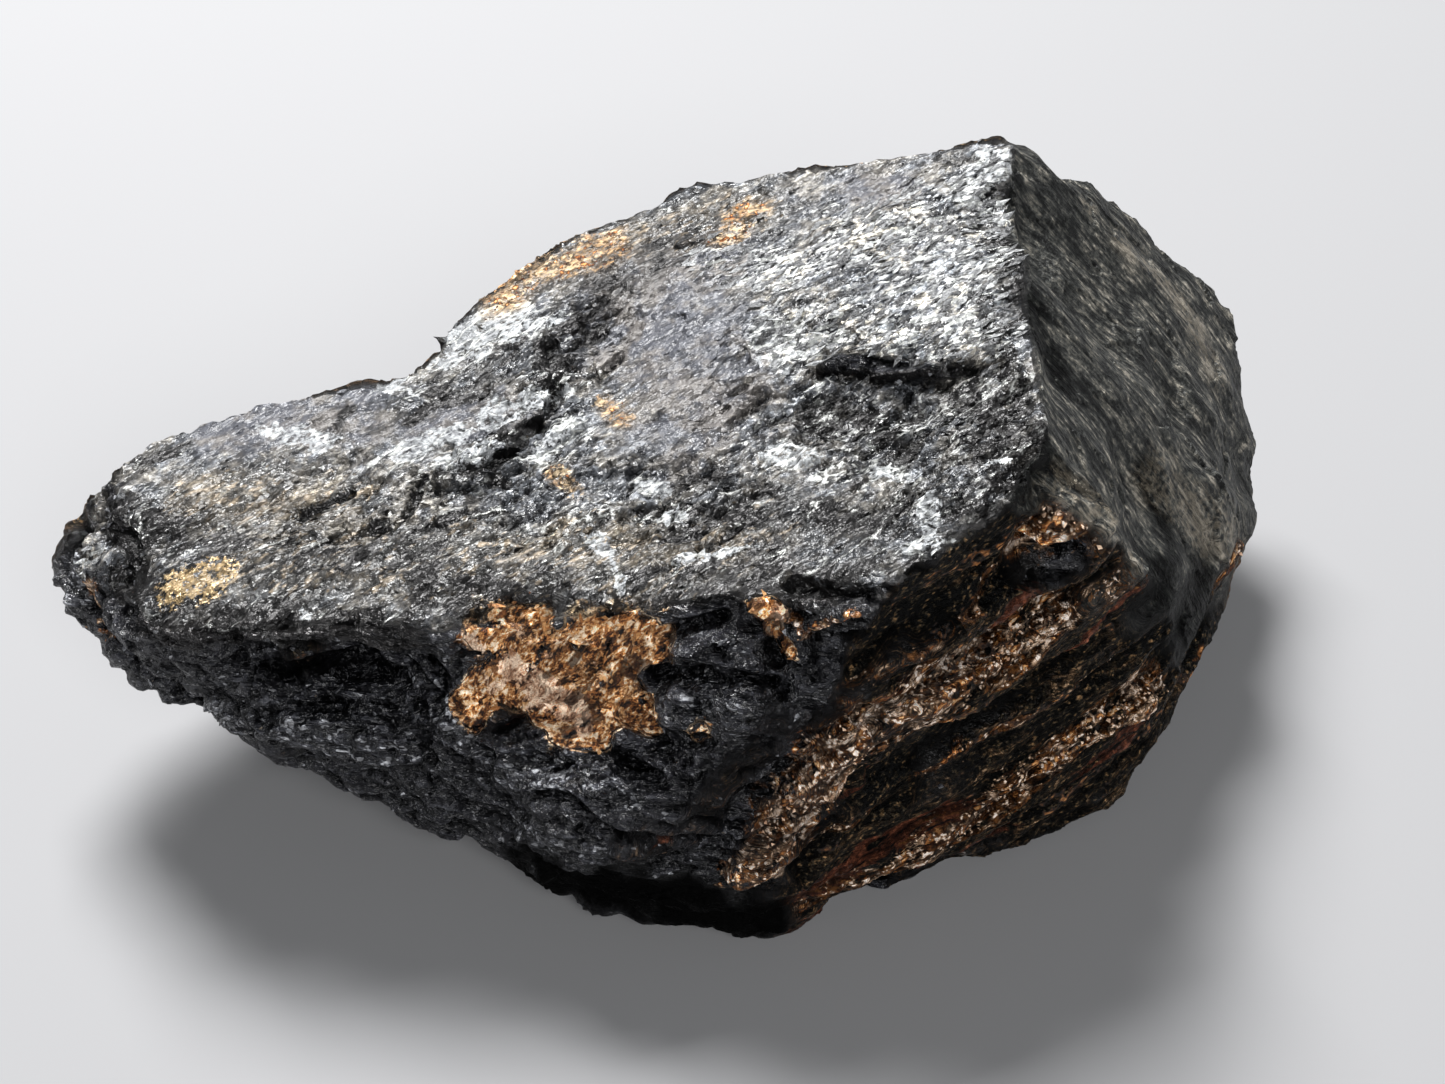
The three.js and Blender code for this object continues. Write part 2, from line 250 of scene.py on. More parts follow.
def rise(values, low, high):
    """0 below low, 1 above high, and smooth between."""
    share = np.clip((values - low) / (high - low), 0, 1)
    return share * share * (3 - 2 * share)


def shifted(points, size, seed):
    return (points / size + np.array([seed, 2 * seed, 3 * seed])).tolist()


def clouds(points, size, seed):
    """Smooth noise from about -1 to 1, with features of the given size."""
    return np.array([noise.noise(place) for place in shifted(points, size, seed)])


def rugged(points, size, seed, octaves=4):
    """The same with finer and finer detail in it."""
    return np.array([
        noise.fractal(place, 0.9, 2.1, octaves) for place in shifted(points, size, seed)
    ])


def scoops(points, size, seed):
    """Bowls with sharp rims: 0 at the bottom of each and about 1 at its rim."""
    return np.array([
        noise.voronoi(place)[0][0] for place in shifted(points, size, seed)
    ]) * 1.6


def chunks(points, size, seed):
    """Flat facets, each tilted its own way. The result is in units of size, about 0 in the middle."""
    heights = []
    for place in shifted(points, size, seed):
        centre = noise.voronoi(place)[1][0]
        heights.append((Vector(place) - centre).dot(noise.cell_vector(centre * 7) - HALF))
    return np.array(heights)


def drawn_out(points, grain, length, width):
    """Points squeezed along a grain, so that noise over them is drawn out along it."""
    grain = np.array(grain)
    along = points @ grain
    return points + np.outer(along * (width / length - 1), grain)


def terraces(heights, step, tread):
    """Heights gathered into level treads with steep risers. tread is the share that is level."""
    stairs = heights / step
    ground = np.floor(stairs)
    return (ground + rise(stairs - ground, tread, 1)) * step


# ---- Relief ----------------------------------------------------------------------------------------


class Stone:
    """The dense mesh with what is known about each of its points."""

    def __init__(self, obj):
        self.obj = obj
        self.mesh = obj.data
        self.near = Neighbourhood(self.mesh)
        self.points = read_points(self.mesh)
        self.normals = self.near.average(read(self.mesh.vertex_normals, "vector", 3), 6)
        self.normals /= np.linalg.norm(self.normals, axis=1)[:, None]
        self.find_faces()

    def find_faces(self):
        """How far each point belongs to each kind of face: 0 to 1, and 1 in all."""
        normals = self.normals
        self.level = self.points @ np.array(LAYER_NORMAL)
        facing = normals @ np.array(LAYER_NORMAL) + 0.07 * rugged(self.points, 1.5 * MM, 67)
        self.cleavage = rise(facing, 0.82, 0.91)
        self.cleavage *= rise(self.level, 25.5 * MM, 28 * MM)
        self.end = rise(normals @ np.array(END_BREAK), 0.62, 0.85) * (1 - self.cleavage)
        self.end *= rise(self.points @ np.array(END_BREAK), 34 * MM, 36 * MM)
        rest = (1 - self.cleavage) * (1 - self.end)
        self.under = rest * rise(-normals[:, 2], 0.55, 0.85)
        rest = rest - self.under
        turned_right = np.maximum(normals[:, 0] + 0.3 * normals[:, 1], normals[:, 1])
        self.layered = rest * rise(turned_right, -0.2, 0.2)
        self.hackly = rest - self.layered

    def raise_along_normals(self, heights):
        self.points = keep_above_floor(self.points + heights[:, None] * self.normals)

    def pull_in_spikes(self):
        """Draws points that stand far out from their neighbours back towards them."""
        for _ in range(SPIKE_ROUNDS):
            back = self.near.average(self.points) - self.points
            far = rise(np.linalg.norm(back, axis=1), SPIKE / 2, SPIKE)
            self.points = self.points + far[:, None] * back

    def write(self):
        self.mesh.vertices.foreach_set("co", self.points.ravel())
        self.mesh.update()

    def thin_out(self):
        """Takes points away where the stone is plain, until it has few enough triangles."""
        triangles = sum(len(face.vertices) - 2 for face in self.mesh.polygons)
        thin = self.obj.modifiers.new("thin out", "DECIMATE")
        thin.ratio = min(1, MOST_TRIANGLES / triangles)
        thinned = evaluated_mesh(self.obj)
        self.obj.modifiers.remove(thin)
        self.obj.data = thinned

    def build_tree(self):
        polygons = [tuple(face.vertices) for face in self.mesh.polygons]
        self.tree = BVHTree.FromPolygons(self.points.tolist(), polygons)

    def place_at(self, pixel):
        """The place on the stone that the camera sees at a pixel, or the nearest one to a miss."""
        camera = bpy.context.scene.camera.location
        heading = pixel_ray(*pixel)
        hit = self.tree.ray_cast(camera, heading)[0]
        if hit is None:
            hollow_shade = (LOOK_AT - camera).length
            hit = self.tree.find_nearest(camera + heading * hollow_shade)[0]
        return np.array(hit)


def cleavage_relief(stone):
    """Low terraces where sheets of the mineral have come away, the scaly grain on them, and pits."""
    points = stone.points
    swells = clouds(drawn_out(points, CLEAVAGE_GRAIN, 18 * MM, 7 * MM), 7 * MM, 3)
    steps = clouds(drawn_out(points, CLEAVAGE_GRAIN, 6 * MM, 2.6 * MM), 2.6 * MM, 5)
    scales = rugged(drawn_out(points, CLEAVAGE_GRAIN, 2 * MM, 0.9 * MM), 0.9 * MM, 7)
    sheets = terraces(1.3 * swells + 1.0 * steps + 0.35 * scales, 0.34, 0.6)
    pits = rise(clouds(drawn_out(points, CLEAVAGE_GRAIN, 4.5 * MM, 1.4 * MM), 1.4 * MM, 9), 0.25, 0.5)
    strength = 0.3 + 0.5 * stone.rugged - 0.2 * stone.smooth
    pit_depth = 0.14 + 0.4 * stone.rugged - 0.12 * stone.smooth
    plates = chunks(drawn_out(points, CLEAVAGE_GRAIN, 4.5 * MM, 3 * MM), 3 * MM, 45)
    return (
        strength * (0.8 * sheets + 0.22 * scales) - pit_depth * pits
        + 1.1 * (stone.rugged - 0.3 * stone.smooth) * plates
    )


def end_relief(stone):
    """Shallow steps and fine scratches that run down the right-hand break."""
    points = stone.points
    steps = clouds(drawn_out(points, END_GRAIN, 22 * MM, 5 * MM), 5 * MM, 11)
    scratches = clouds(drawn_out(points, END_GRAIN, 7 * MM, 0.7 * MM), 0.7 * MM, 13)
    chips = chunks(drawn_out(points, END_GRAIN, 6 * MM, 2.6 * MM), 2.6 * MM, 15)
    return 0.16 * terraces(steps, 0.2, 0.75) + 0.05 * scratches + 0.4 * chips


def layered_relief(stone):
    """Broken edges of the layers: thin ledges of uneven strength, and crumbs where it is soft."""
    points = stone.points
    waver = 0.5 * MM * clouds(points, 6 * MM, 17)
    level = (stone.level + waver)[:, None]
    along = drawn_out(points, LAYER_NORMAL, 1, 0.02)
    thick = clouds(along / 6 + level / 1.7 * np.array(LAYER_NORMAL), 1 * MM, 19)
    thin = clouds(along / 3.5 + level / 0.6 * np.array(LAYER_NORMAL), 1 * MM, 21)
    crumbs = rugged(points, 1.3 * MM, 23)
    grit = chunks(points, 1.5 * MM, 47)
    clumps = 0.6 - scoops(drawn_out(points, BAND_GRAIN, 2.4 * MM, 1.5 * MM), 1.5 * MM, 48) ** 2
    ledges = 0.9 * terraces(thick, 0.22, 0.5) + 0.35 * thin
    blocky = rise(points[:, 1], 2 * MM, 12 * MM) * rise(clouds(points, 9 * MM, 63), -0.15, 0.35)
    ledges = ledges * (1 - 0.65 * blocky) + 0.9 * blocky * chunks(points, 4 * MM, 65)
    return (
        ledges + (0.12 + 0.12 * stone.tan) * crumbs + (0.2 + 0.2 * stone.tan) * grit
        + stone.crumbs * (0.8 * clumps + 0.4 * rugged(points, 0.9 * MM, 50))
    )


def hackly_relief(stone):
    """Shingled lenses that swell outwards as they go down and end in a lip, and chips on them."""
    points = stone.points
    bent = points + 2.2 * MM * np.column_stack(
        [clouds(points, 8 * MM, 25), clouds(points, 8 * MM, 27), clouds(points, 8 * MM, 29)]
    )
    drawn = drawn_out(bent, HACKLY_GRAIN, 12 * MM, 4 * MM)
    turn = bent @ np.array(HACKLY_UP) / (3.3 * MM) + 1.1 * clouds(drawn, 4 * MM, 31)
    swell = 1 - (turn - np.floor(turn))
    swell = swell - rise(swell, 0.82, 1) * swell
    reach = rise(clouds(drawn, 4 * MM, 33), -0.35, 0.35)
    flakes = np.abs(clouds(drawn_out(bent, HACKLY_GRAIN, 3 * MM, 1.2 * MM), 1.2 * MM, 35))
    chips = chunks(drawn_out(points, HACKLY_GRAIN, 3 * MM, 2 * MM), 2 * MM, 49)
    return (
        1.7 * reach * (swell - 0.4) + 0.8 * (flakes - 0.2) + 0.9 * chips
        + 0.08 * rugged(points, 0.7 * MM, 36)
    )


def under_relief(stone):
    return 0.2 * rugged(stone.points, 2.5 * MM, 37)


def lumpy_relief(stone):
    """The crumbly black end of the tongue."""
    lumps = 1 - scoops(stone.points, 2.4 * MM, 39) ** 2
    return 0.8 * (lumps - 1) + 0.3 * rugged(stone.points, 0.9 * MM, 41)


def raise_relief(stone):
    heights = (
        stone.cleavage * cleavage_relief(stone)
        + stone.end * end_relief(stone)
        + stone.layered * layered_relief(stone)
        + stone.hackly * hackly_relief(stone)
        + stone.under * under_relief(stone)
    )
    heights += stone.crumbly * (lumpy_relief(stone) - 0.6 * heights)
    blades = clouds(drawn_out(stone.points, FILL_GRAIN, 3 * MM, 1 * MM), 1 * MM, 43)
    fill = 0.5 * blades + 0.3 * rugged(stone.points, 0.9 * MM, 44) - 0.5
    heights += stone.hollow_fill * (fill - 0.7 * heights)
    heights += stone.form
    stone.raise_along_normals(heights * MM)
    stone.pull_in_spikes()
    stone.write()


# ---- Where each mineral and surface lies, and where shade and highlights are painted ---------------
# Each stroke is a line of pixels in the picture frame and the reach of the stroke in millimetres.

CRUMBS = {
    "upper": ([(850, 735), (815, 780), (790, 815)], 3),
    "lower": ([(790, 815), (770, 850), (735, 875)], 2.2),
    "knob": ([(1040, 528), (1070, 512), (1100, 522)], 1.9),
    "rib": ([(950, 690), (1060, 612)], 0.8),
    "wide band": ([(1060, 745), (1130, 695)], 1.2),
}
HOLLOW = {
    "left": ([(482, 705), (505, 665), (530, 645)], 2.5),
    "middle": ([(520, 695), (580, 705), (618, 695)], 3.2),
    "top": ([(480, 640), (560, 640), (645, 635)], 2.2),
    "centre": ([(550, 668), (625, 665)], 2.6),
    "sill": ([(762, 608), (775, 622)], 0.9),
    "sill, low": ([(778, 632), (790, 650)], 0.8),
}
OCHRE = {
    "back edge": ([(505, 285), (555, 262), (600, 252)], 3),
    "back edge, right": ([(728, 235), (750, 210)], 1.8),
    "cleavage, middle": ([(608, 405), (622, 420)], 1.2),
    "cleavage, left": ([(560, 475), (572, 490)], 1.3),
    "below the hollow": ([(695, 735), (705, 725)], 1),
    "front of the cleavage": ([(580, 618), (640, 625)], 1.8),
}
TAN = {
    "crumbs, upper": ([(850, 735), (815, 780), (790, 815)], 3.2),
    "crumbs, lower": ([(790, 815), (770, 850), (735, 875)], 2.4),
    "rib": ([(870, 720), (960, 680), (1060, 610)], 2.4),
    "knob": ([(1035, 530), (1070, 510), (1105, 520)], 3.2),
    "knob tail": ([(1010, 548), (1035, 530)], 1.3),
    "wide band": ([(1000, 785), (1060, 745), (1135, 690)], 2.7),
    "wide band, low": ([(880, 870), (1000, 800)], 0.9),
    "patch on the wide band": ([(1070, 738), (1105, 715), (1130, 700)], 2.2),
    "hollow, heart": ([(515, 668), (540, 690), (580, 716)], 1.3),
    "hollow, corner": ([(462, 640), (480, 652)], 0.8),
    "tongue patch": ([(178, 585), (210, 580)], 2.2),
    "end of the break": ([(1160, 480), (1200, 520), (1240, 555)], 3.2),
    "rim of the break": ([(1120, 240), (1180, 300), (1220, 380)], 2.2),
    "rim spot": ([(1080, 200), (1098, 214)], 0.8),
    "grey facet": ([(1115, 590), (1140, 560)], 1.6),
    "tongue end": ([(85, 590), (95, 630)], 1.4),
    "sill": ([(780, 612), (795, 620), (808, 638)], 0.5),
    "sill lip": ([(815, 624), (858, 607)], 0.4),
}
RED = {
    "low band": ([(870, 850), (915, 830), (960, 815)], 2),
    "under the crumbs": ([(800, 890), (850, 870)], 2),
}
PALE = {
    "left knob": ([(410, 370), (470, 345), (530, 320)], 3.5),
    "notch": ([(390, 385), (420, 400)], 2),
    "tongue, middle": ([(266, 430), (290, 436), (320, 442)], 1.6),
    "step, left": ([(410, 450), (430, 440), (456, 432)], 1.4),
    "bright step": ([(438, 458), (470, 462), (501, 452)], 1.0),
    "above the step": ([(498, 415), (525, 400), (553, 393)], 1.8),
    "right of the step": ([(547, 452), (560, 440), (581, 433)], 1.5),
    "tongue front": ([(300, 612), (312, 618)], 0.8),
    "star": ([(930, 505), (932, 548)], 0.7),
    "star, left arm": ([(932, 548), (905, 548)], 0.6),
    "star, right arm": ([(932, 548), (955, 538)], 0.5),
    "vein": ([(598, 544), (608, 558)], 1.2),
    "vein, thin": ([(610, 562), (622, 582), (618, 600)], 0.5),
    "front step": ([(680, 560), (720, 556), (755, 545)], 0.6),
    "corner vein": ([(990, 468), (1035, 470)], 0.5),
    "bright spot": ([(780, 450), (800, 460)], 1.8),
    "bright spot, right": ([(885, 468), (905, 475)], 1.4),
    "bright spot, front": ([(668, 515), (682, 518)], 1.2),
    "bright spot, left": ([(645, 480), (655, 485)], 1.0),
    "top of the ridge": ([(960, 195), (1000, 160)], 2),
    "beside the smooth patch": ([(765, 335), (800, 350)], 2.5),
}
FROST = {
    "rugged patch": ([(760, 430), (870, 460), (970, 500)], 5),
    "front": ([(560, 530), (620, 540), (660, 500)], 3),
    "step": ([(430, 450), (540, 400)], 3.5),
    "ledge": ([(800, 390), (960, 400)], 3),
}
# The silvery part of the cleavage face. Beside its real flakes, it is painted lighter there as sheen,
# with more glints.
SILVER = {
    "right, upper": ([(860, 240), (960, 220), (960, 260)], 6),
    "right, lower": ([(800, 330), (860, 320), (980, 320)], 4.5),
    "middle": ([(720, 250), (790, 270)], 3),
}
# Painted glints and sheen on the hackly break.
GLINTS = {
    "bright ledge": ([(225, 702), (300, 727), (412, 745)], 1.9),
    "left of the hollow": ([(438, 705), (452, 740)], 2),
    "below the hollow": ([(490, 765), (540, 770), (600, 778)], 2),
    "lens": ([(700, 700), (735, 700)], 1.0),
    "low on the break": ([(520, 820), (590, 850)], 2),
    "tongue end": ([(80, 560), (75, 600)], 2),
}
SMOOTH = {
    "middle": ([(620, 310), (690, 350), (700, 410)], 6.5),
    "back": ([(650, 260), (720, 250)], 4),
    "tongue": ([(230, 430), (350, 410)], 4),
    "below the step": ([(430, 420), (510, 410)], 3),
    "top of the ridge": ([(850, 190), (900, 190)], 2.5),
}
# Dark patches of the mineral, and painted shade: the ledge, the steps, the ridge shadow, under the lip,
# the recess, along the front of the cleavage face and the shadowed parts of the right-hand break are
# darkened as shade.
DARK = {
    "ledge": ([(808, 370), (880, 378), (1005, 368)], 0.45),
    "rugged patch, left": ([(830, 410), (870, 420), (900, 450)], 2.6),
    "rugged patch, right": ([(960, 400), (1010, 430), (1010, 480)], 2.6),
    "step": ([(480, 470), (545, 400), (555, 350)], 1.5),
    "step, top": ([(555, 350), (585, 325)], 2.2),
    "streak, left": ([(300, 508), (325, 498), (347, 490)], 0.8),
    "streak, lower left": ([(336, 540), (378, 520)], 0.7),
    "streak, long": ([(390, 531), (433, 522), (500, 508)], 0.6),
    "streak, steep": ([(404, 511), (421, 474)], 0.6),
    "black knob": ([(440, 485), (470, 475), (490, 480)], 1.3),
    "under the bright step": ([(455, 472), (510, 456)], 1.0),
    "back streaks": ([(333, 434), (347, 411)], 0.6),
    "back streak, left": ([(139, 460), (184, 447)], 0.8),
    "back streak, middle": ([(410, 420), (440, 402), (480, 398)], 0.8),
    "tongue blotch": ([(120, 515), (150, 530), (180, 540)], 2.4),
    "tongue streak": ([(170, 575), (240, 545)], 1.1),
    "tongue front": ([(130, 580), (170, 620), (260, 620), (400, 640)], 2.6),
    "front band": ([(640, 590), (740, 575), (850, 575)], 2.2),
    "front of the rugged patch": ([(700, 520), (800, 510), (880, 520)], 2.5),
    "corner plate": ([(990, 450), (1015, 470)], 2),
    "front, left": ([(430, 590), (520, 600)], 2),
    "blotch": ([(690, 480), (720, 470)], 1.2),
    "ridge shadow": ([(985, 300), (1010, 370), (1042, 450), (1110, 520)], 1),
    "under the lip": ([(880, 625), (960, 600), (1030, 560)], 1.6),
    "recess": ([(880, 790), (940, 740), (1010, 690)], 1.8),
    "low on the end": ([(1150, 600), (1200, 630), (1230, 600)], 4.5),
    "end, shadowed": ([(1145, 470), (1160, 510), (1175, 550)], 1.8),
    "end, upper left": ([(1000, 250), (1030, 320), (1060, 380)], 2.2),
}
# Painted shade: parts of the cleavage face made darker where they turn from the light.
SHADE = {
    "front right": ([(700, 540), (850, 545), (1010, 520)], 6),
    "rugged patch": ([(850, 420), (1000, 430)], 4),
    "front": ([(450, 590), (640, 590)], 3),
    "tongue": ([(200, 540), (420, 560)], 3.5),
    "left knob": ([(430, 390), (520, 350)], 3),
    "back": ([(560, 320), (600, 290), (700, 230)], 3),
    "ridge top": ([(1000, 170), (960, 220)], 2.5),
}
HAZE = {
    "front of the cleavage": ([(250, 560), (450, 560), (640, 560), (760, 530)], 5),
    "tongue": ([(200, 500), (330, 500)], 4),
    "back": ([(640, 240), (760, 210)], 3.5),
}
RUGGED = {
    "right front": ([(790, 390), (900, 440), (1000, 450)], 9),
    "step": ([(480, 470), (545, 400), (590, 330)], 5),
    "left": ([(310, 520), (430, 500)], 4),
    "front": ([(560, 500), (700, 500)], 6),
}
CRUMBLY = {
    "tongue end": ([(70, 570), (95, 640)], 4),
    "tongue chin": ([(110, 660), (200, 700)], 3.5),
    "tongue end, behind": ([(75, 560), (100, 520)], 3),
}
# Named forms raised or sunk a little: the line, its reach in millimetres and its height.
FORMS = {
    "crack over the sill": ([(790, 580), (830, 592), (868, 596)], 0.8, -0.9),
    "cave under the tongue": ([(245, 668), (330, 668), (420, 685)], 2.8, -1.7),
    "upper lip in the cave": ([(290, 668), (345, 655), (395, 668)], 0.6, 1.1),
    "lower lip in the cave": ([(310, 690), (360, 690), (400, 700)], 0.7, 1.1),
    "bright ledge": ([(225, 702), (300, 727), (412, 745)], 1.7, 1.2),
    "lens above the groove": ([(690, 655), (720, 650), (750, 655)], 2, 0.8),
    "groove": ([(653, 676), (710, 672), (773, 683)], 0.8, -1.4),
    "upper groove": ([(650, 640), (685, 628), (722, 618)], 0.7, -1.0),
    "lens below the groove": ([(690, 705), (730, 705)], 3, 0.9),
    "lower groove": ([(627, 712), (655, 735), (705, 742)], 0.8, -1.2),
    "pocket": ([(640, 765), (690, 775)], 2.2, -1.0),
    "sill": ([(765, 608), (795, 630), (800, 650)], 1.1, 0.7),
    "sill lip": ([(800, 628), (860, 606)], 0.7, 0.6),
    "gap by the sill": ([(770, 650), (780, 690)], 1.2, -0.8),
    "crumbs, upper": ([(850, 735), (815, 780)], 1.7, 1.1),
    "crumbs, lower": ([(800, 800), (775, 850), (740, 872)], 1.4, 1.1),
    "between the crumbs": ([(790, 770), (760, 800)], 1.2, -0.8),
    "under the crumbs": ([(830, 830), (800, 870)], 1.3, -0.8),
    "notch by the tip": ([(850, 892), (930, 878), (1010, 862)], 2.2, -1.1),
    "rib": ([(890, 715), (960, 685), (1060, 612)], 0.9, 0.7),
    "above the rib": ([(900, 680), (1000, 640)], 1.2, -0.7),
    "below the rib": ([(880, 770), (960, 725), (1060, 660)], 1.8, -0.9),
    "wide band": ([(1000, 780), (1060, 740), (1135, 700)], 1.6, 0.9),
    "knob": ([(1045, 527), (1070, 514), (1098, 522)], 1.6, 0.8),
    "ledge": ([(811, 374), (880, 379), (992, 366)], 0.6, -0.12),
    "above the ledge": ([(815, 360), (880, 366), (992, 352)], 1.1, 0.2),
    "black knob": ([(445, 480), (478, 480)], 1.2, 0.7),
    "under the bright step": ([(440, 470), (475, 474), (515, 456)], 0.6, -0.6),
    "steep groove": ([(404, 511), (421, 474)], 0.5, -0.5),
    "left groove": ([(300, 508), (347, 490)], 0.6, -0.5),
    "lower left groove": ([(336, 540), (378, 520)], 0.6, -0.5),
    "step groove": ([(541, 437), (556, 400), (552, 350)], 0.7, -0.6),
    "right edge": ([(1240, 320), (1252, 400), (1258, 480)], 3, -0.6),
}
# The belly is painted near black as shade, where the stone faces down over the floor.
BELLY = {
    "belly": ([(560, 880), (650, 895), (740, 912)], 5.5),
}

# Layers of the tan and rusty minerals that come out of the cross-breaks, by their height in the layers.
TAN_BANDS = ((18.8, 1.1), (6.6, 2.0), (24.6, 0.6), (12.3, 0.5))
RED_BANDS = ((3.6, 1.3), (22.4, 0.7), (15.6, 0.5))


def painted(stone, strokes, ragged=0.35):
    """How far each point lies under the strokes, with their edges made ragged."""
    mask = np.zeros(len(stone.points))
    for path, reach in strokes.values():
        places = [stone.place_at(pixel) for pixel in path]
        for start, stop in zip(places, places[1:]):
            run = stop - start
            along = np.clip((stone.points - start) @ run / (run @ run), 0, 1)
            gap = np.linalg.norm(stone.points - start - along[:, None] * run, axis=1)
            mask = np.maximum(mask, rise(1 - gap / (reach * MM) + ragged * stone.wander, 0, 0.6))
    return mask


def banded(stone, bands):
    """How far each point lies in a band of the layers. Bands come and go along their length."""
    waver = 0.9 * clouds(stone.points, 9 * MM, 55) + 0.35 * clouds(stone.points, 2 * MM, 57)
    level = stone.level / MM + waver
    mask = np.zeros(len(stone.points))
    for height, half in bands:
        mask = np.maximum(mask, rise(1 - np.abs(level - height) / half, 0, 0.8))
    patchy = rise(clouds(stone.points, 7 * MM, 59), -0.45, 0.15)
    return mask * patchy * stone.layered


def paint(stone):
    stone.build_tree()
    stone.wander = clouds(stone.points, 1.6 * MM, 51) + clouds(stone.points, 4 * MM, 53)
    stone.hollow_fill = painted(stone, HOLLOW, ragged=0.7)
    stone.pale = painted(stone, PALE, ragged=0.6)
    for name, strokes in (
        ("ochre", OCHRE), ("tan", TAN), ("red", RED), ("silver", SILVER),
        ("smooth", SMOOTH), ("dark", DARK), ("haze", HAZE), ("rugged", RUGGED),
        ("crumbly", CRUMBLY), ("belly", BELLY), ("frost", FROST),
        ("glints", GLINTS), ("crumbs", CRUMBS), ("shade", SHADE),
    ):
        setattr(stone, name, painted(stone, strokes))
    stone.form = sum(
        height * painted(stone, {name: (path, reach)}, ragged=0.2)
        for name, (path, reach, height) in FORMS.items()
    )
    stone.pale = np.maximum(stone.pale, 0.45 * stone.frost) * rise(stone.cleavage, 0, 0.6)
    stone.ochre *= 0.3 + 0.7 * stone.cleavage
    # Painted shade strokes darken through the dark mask, at about half strength.
    stone.dark = np.maximum(stone.dark, 0.48 * stone.shade)
    # Painted glints on the hackly break join the silver sheen mask.
    stone.silver = np.maximum(stone.silver, stone.glints)
    stone.tan = np.maximum(stone.tan, 0.8 * banded(stone, TAN_BANDS))
    stone.red = np.maximum(stone.red, banded(stone, RED_BANDS))
    hidden = rise(stone.points[:, 1], 4 * MM, 14 * MM) * stone.layered
    blotches = rise(clouds(stone.points, 11 * MM, 61), 0.1, 0.5)
    stone.tan *= 1 - 0.7 * hidden * (1 - blotches)
    stone.ochre = np.maximum(stone.ochre, stone.hollow_fill)
    flat = drawn_out(stone.points, LAYER_NORMAL, 1, 7)
    stone.rusty = 0.5 + 0.75 * clouds(flat, 9 * MM, 69) + 0.3 * clouds(flat, 4 * MM, 71)
    stone.rusty *= 1 - 0.6 * hidden * (1 - blotches)


def find_ridges_and_hollows(stone):
    """Ridges that stand out and hollows that lie in, over about a millimetre."""
    lift = (stone.points - stone.near.average(stone.points, 8)) * stone.normals
    standing = lift.sum(axis=1) / MM
    stone.ridge = rise(standing, 0.02, 0.16)
    stone.hollow = rise(-standing, 0.02, 0.16)


# The masks kept in each colour attribute of the mesh, four to an attribute.
MASKS = {
    "faces": ("cleavage", "end", "layered", "hackly"),
    "stains": ("ochre", "tan", "red", "pale"),
    # Silver also marks painted sheen and glints, and dark holds painted shade as well as dark patches.
    "finish_sheen_and_shade": ("silver", "smooth", "dark", "haze"),
    # Ridge and hollow lighten and darken the colour as painted highlight and shade, and belly marks
    # painted shade; rusty is a real stain.
    "shade_and_rust": ("ridge", "hollow", "belly", "rusty"),
}


def only(kind, *missing):
    """Masks for a place that is all one kind of face and has none of the missing stains."""
    return {mask: float(mask == kind) for mask in MASKS["faces"]} | dict.fromkeys(missing, 0.0)


# Masks that are the same number all over much of the stone, with the material for it, from the
# fullest material to the plainest. One that leaves masks out renders faster.
KNOWN_MASKS = {
    "tantalite": {},
    "tantalite filled breaks": {"cleavage": 0.0, "end": 0.0},
    "tantalite breaks": {"cleavage": 0.0, "end": 0.0, "ochre": 0.0},
    "tantalite hackly": only("hackly", "ochre", "tan"),
    "tantalite layers": only("layered", "ochre"),
    "tantalite end": only("end", "ochre"),
    "tantalite stained cleavage": only("cleavage"),
    "tantalite cleavage": only("cleavage", "ochre", "tan"),
}
NEAR_ENOUGH = 0.03  # of a mask to the number it is taken for


def store_masks(stone):
    """Writes the masks to the mesh, where the materials read them."""
    for name, masks in MASKS.items():
        values = np.column_stack([getattr(stone, mask) for mask in masks])
        layer = stone.mesh.attributes.new(name, "FLOAT_COLOR", "POINT")
        layer.data.foreach_set("color", values.astype(np.float32).ravel())


def share_out_materials(mesh, materials):
    """Gives each face of the mesh the plainest material that shows all its masks."""
    corners = read(mesh.loops, "vertex_index", kind=int)
    starts = read(mesh.polygons, "loop_start", kind=int)
    masks = {}
    for attribute, names in MASKS.items():
        masks.update(zip(names, read(mesh.attributes[attribute].data, "color", 4, np.float32).T))
    chosen = np.zeros(len(mesh.polygons), int)
    for number, (name, known) in enumerate(KNOWN_MASKS.items()):
        mesh.materials.append(materials[name])
        holds = np.ones(len(mesh.vertices), bool)
        for mask, value in known.items():
            holds &= abs(masks[mask] - value) < NEAR_ENOUGH
        chosen[np.logical_and.reduceat(holds[corners], starts)] = number
    mesh.polygons.foreach_set("material_index", chosen)
    mesh.update()


# ---- Shader nodes ----------------------------------------------------------------------------------


def is_number(value):
    return isinstance(value, (int, float))


def is_zero(value):
    return is_number(value) and value == 0


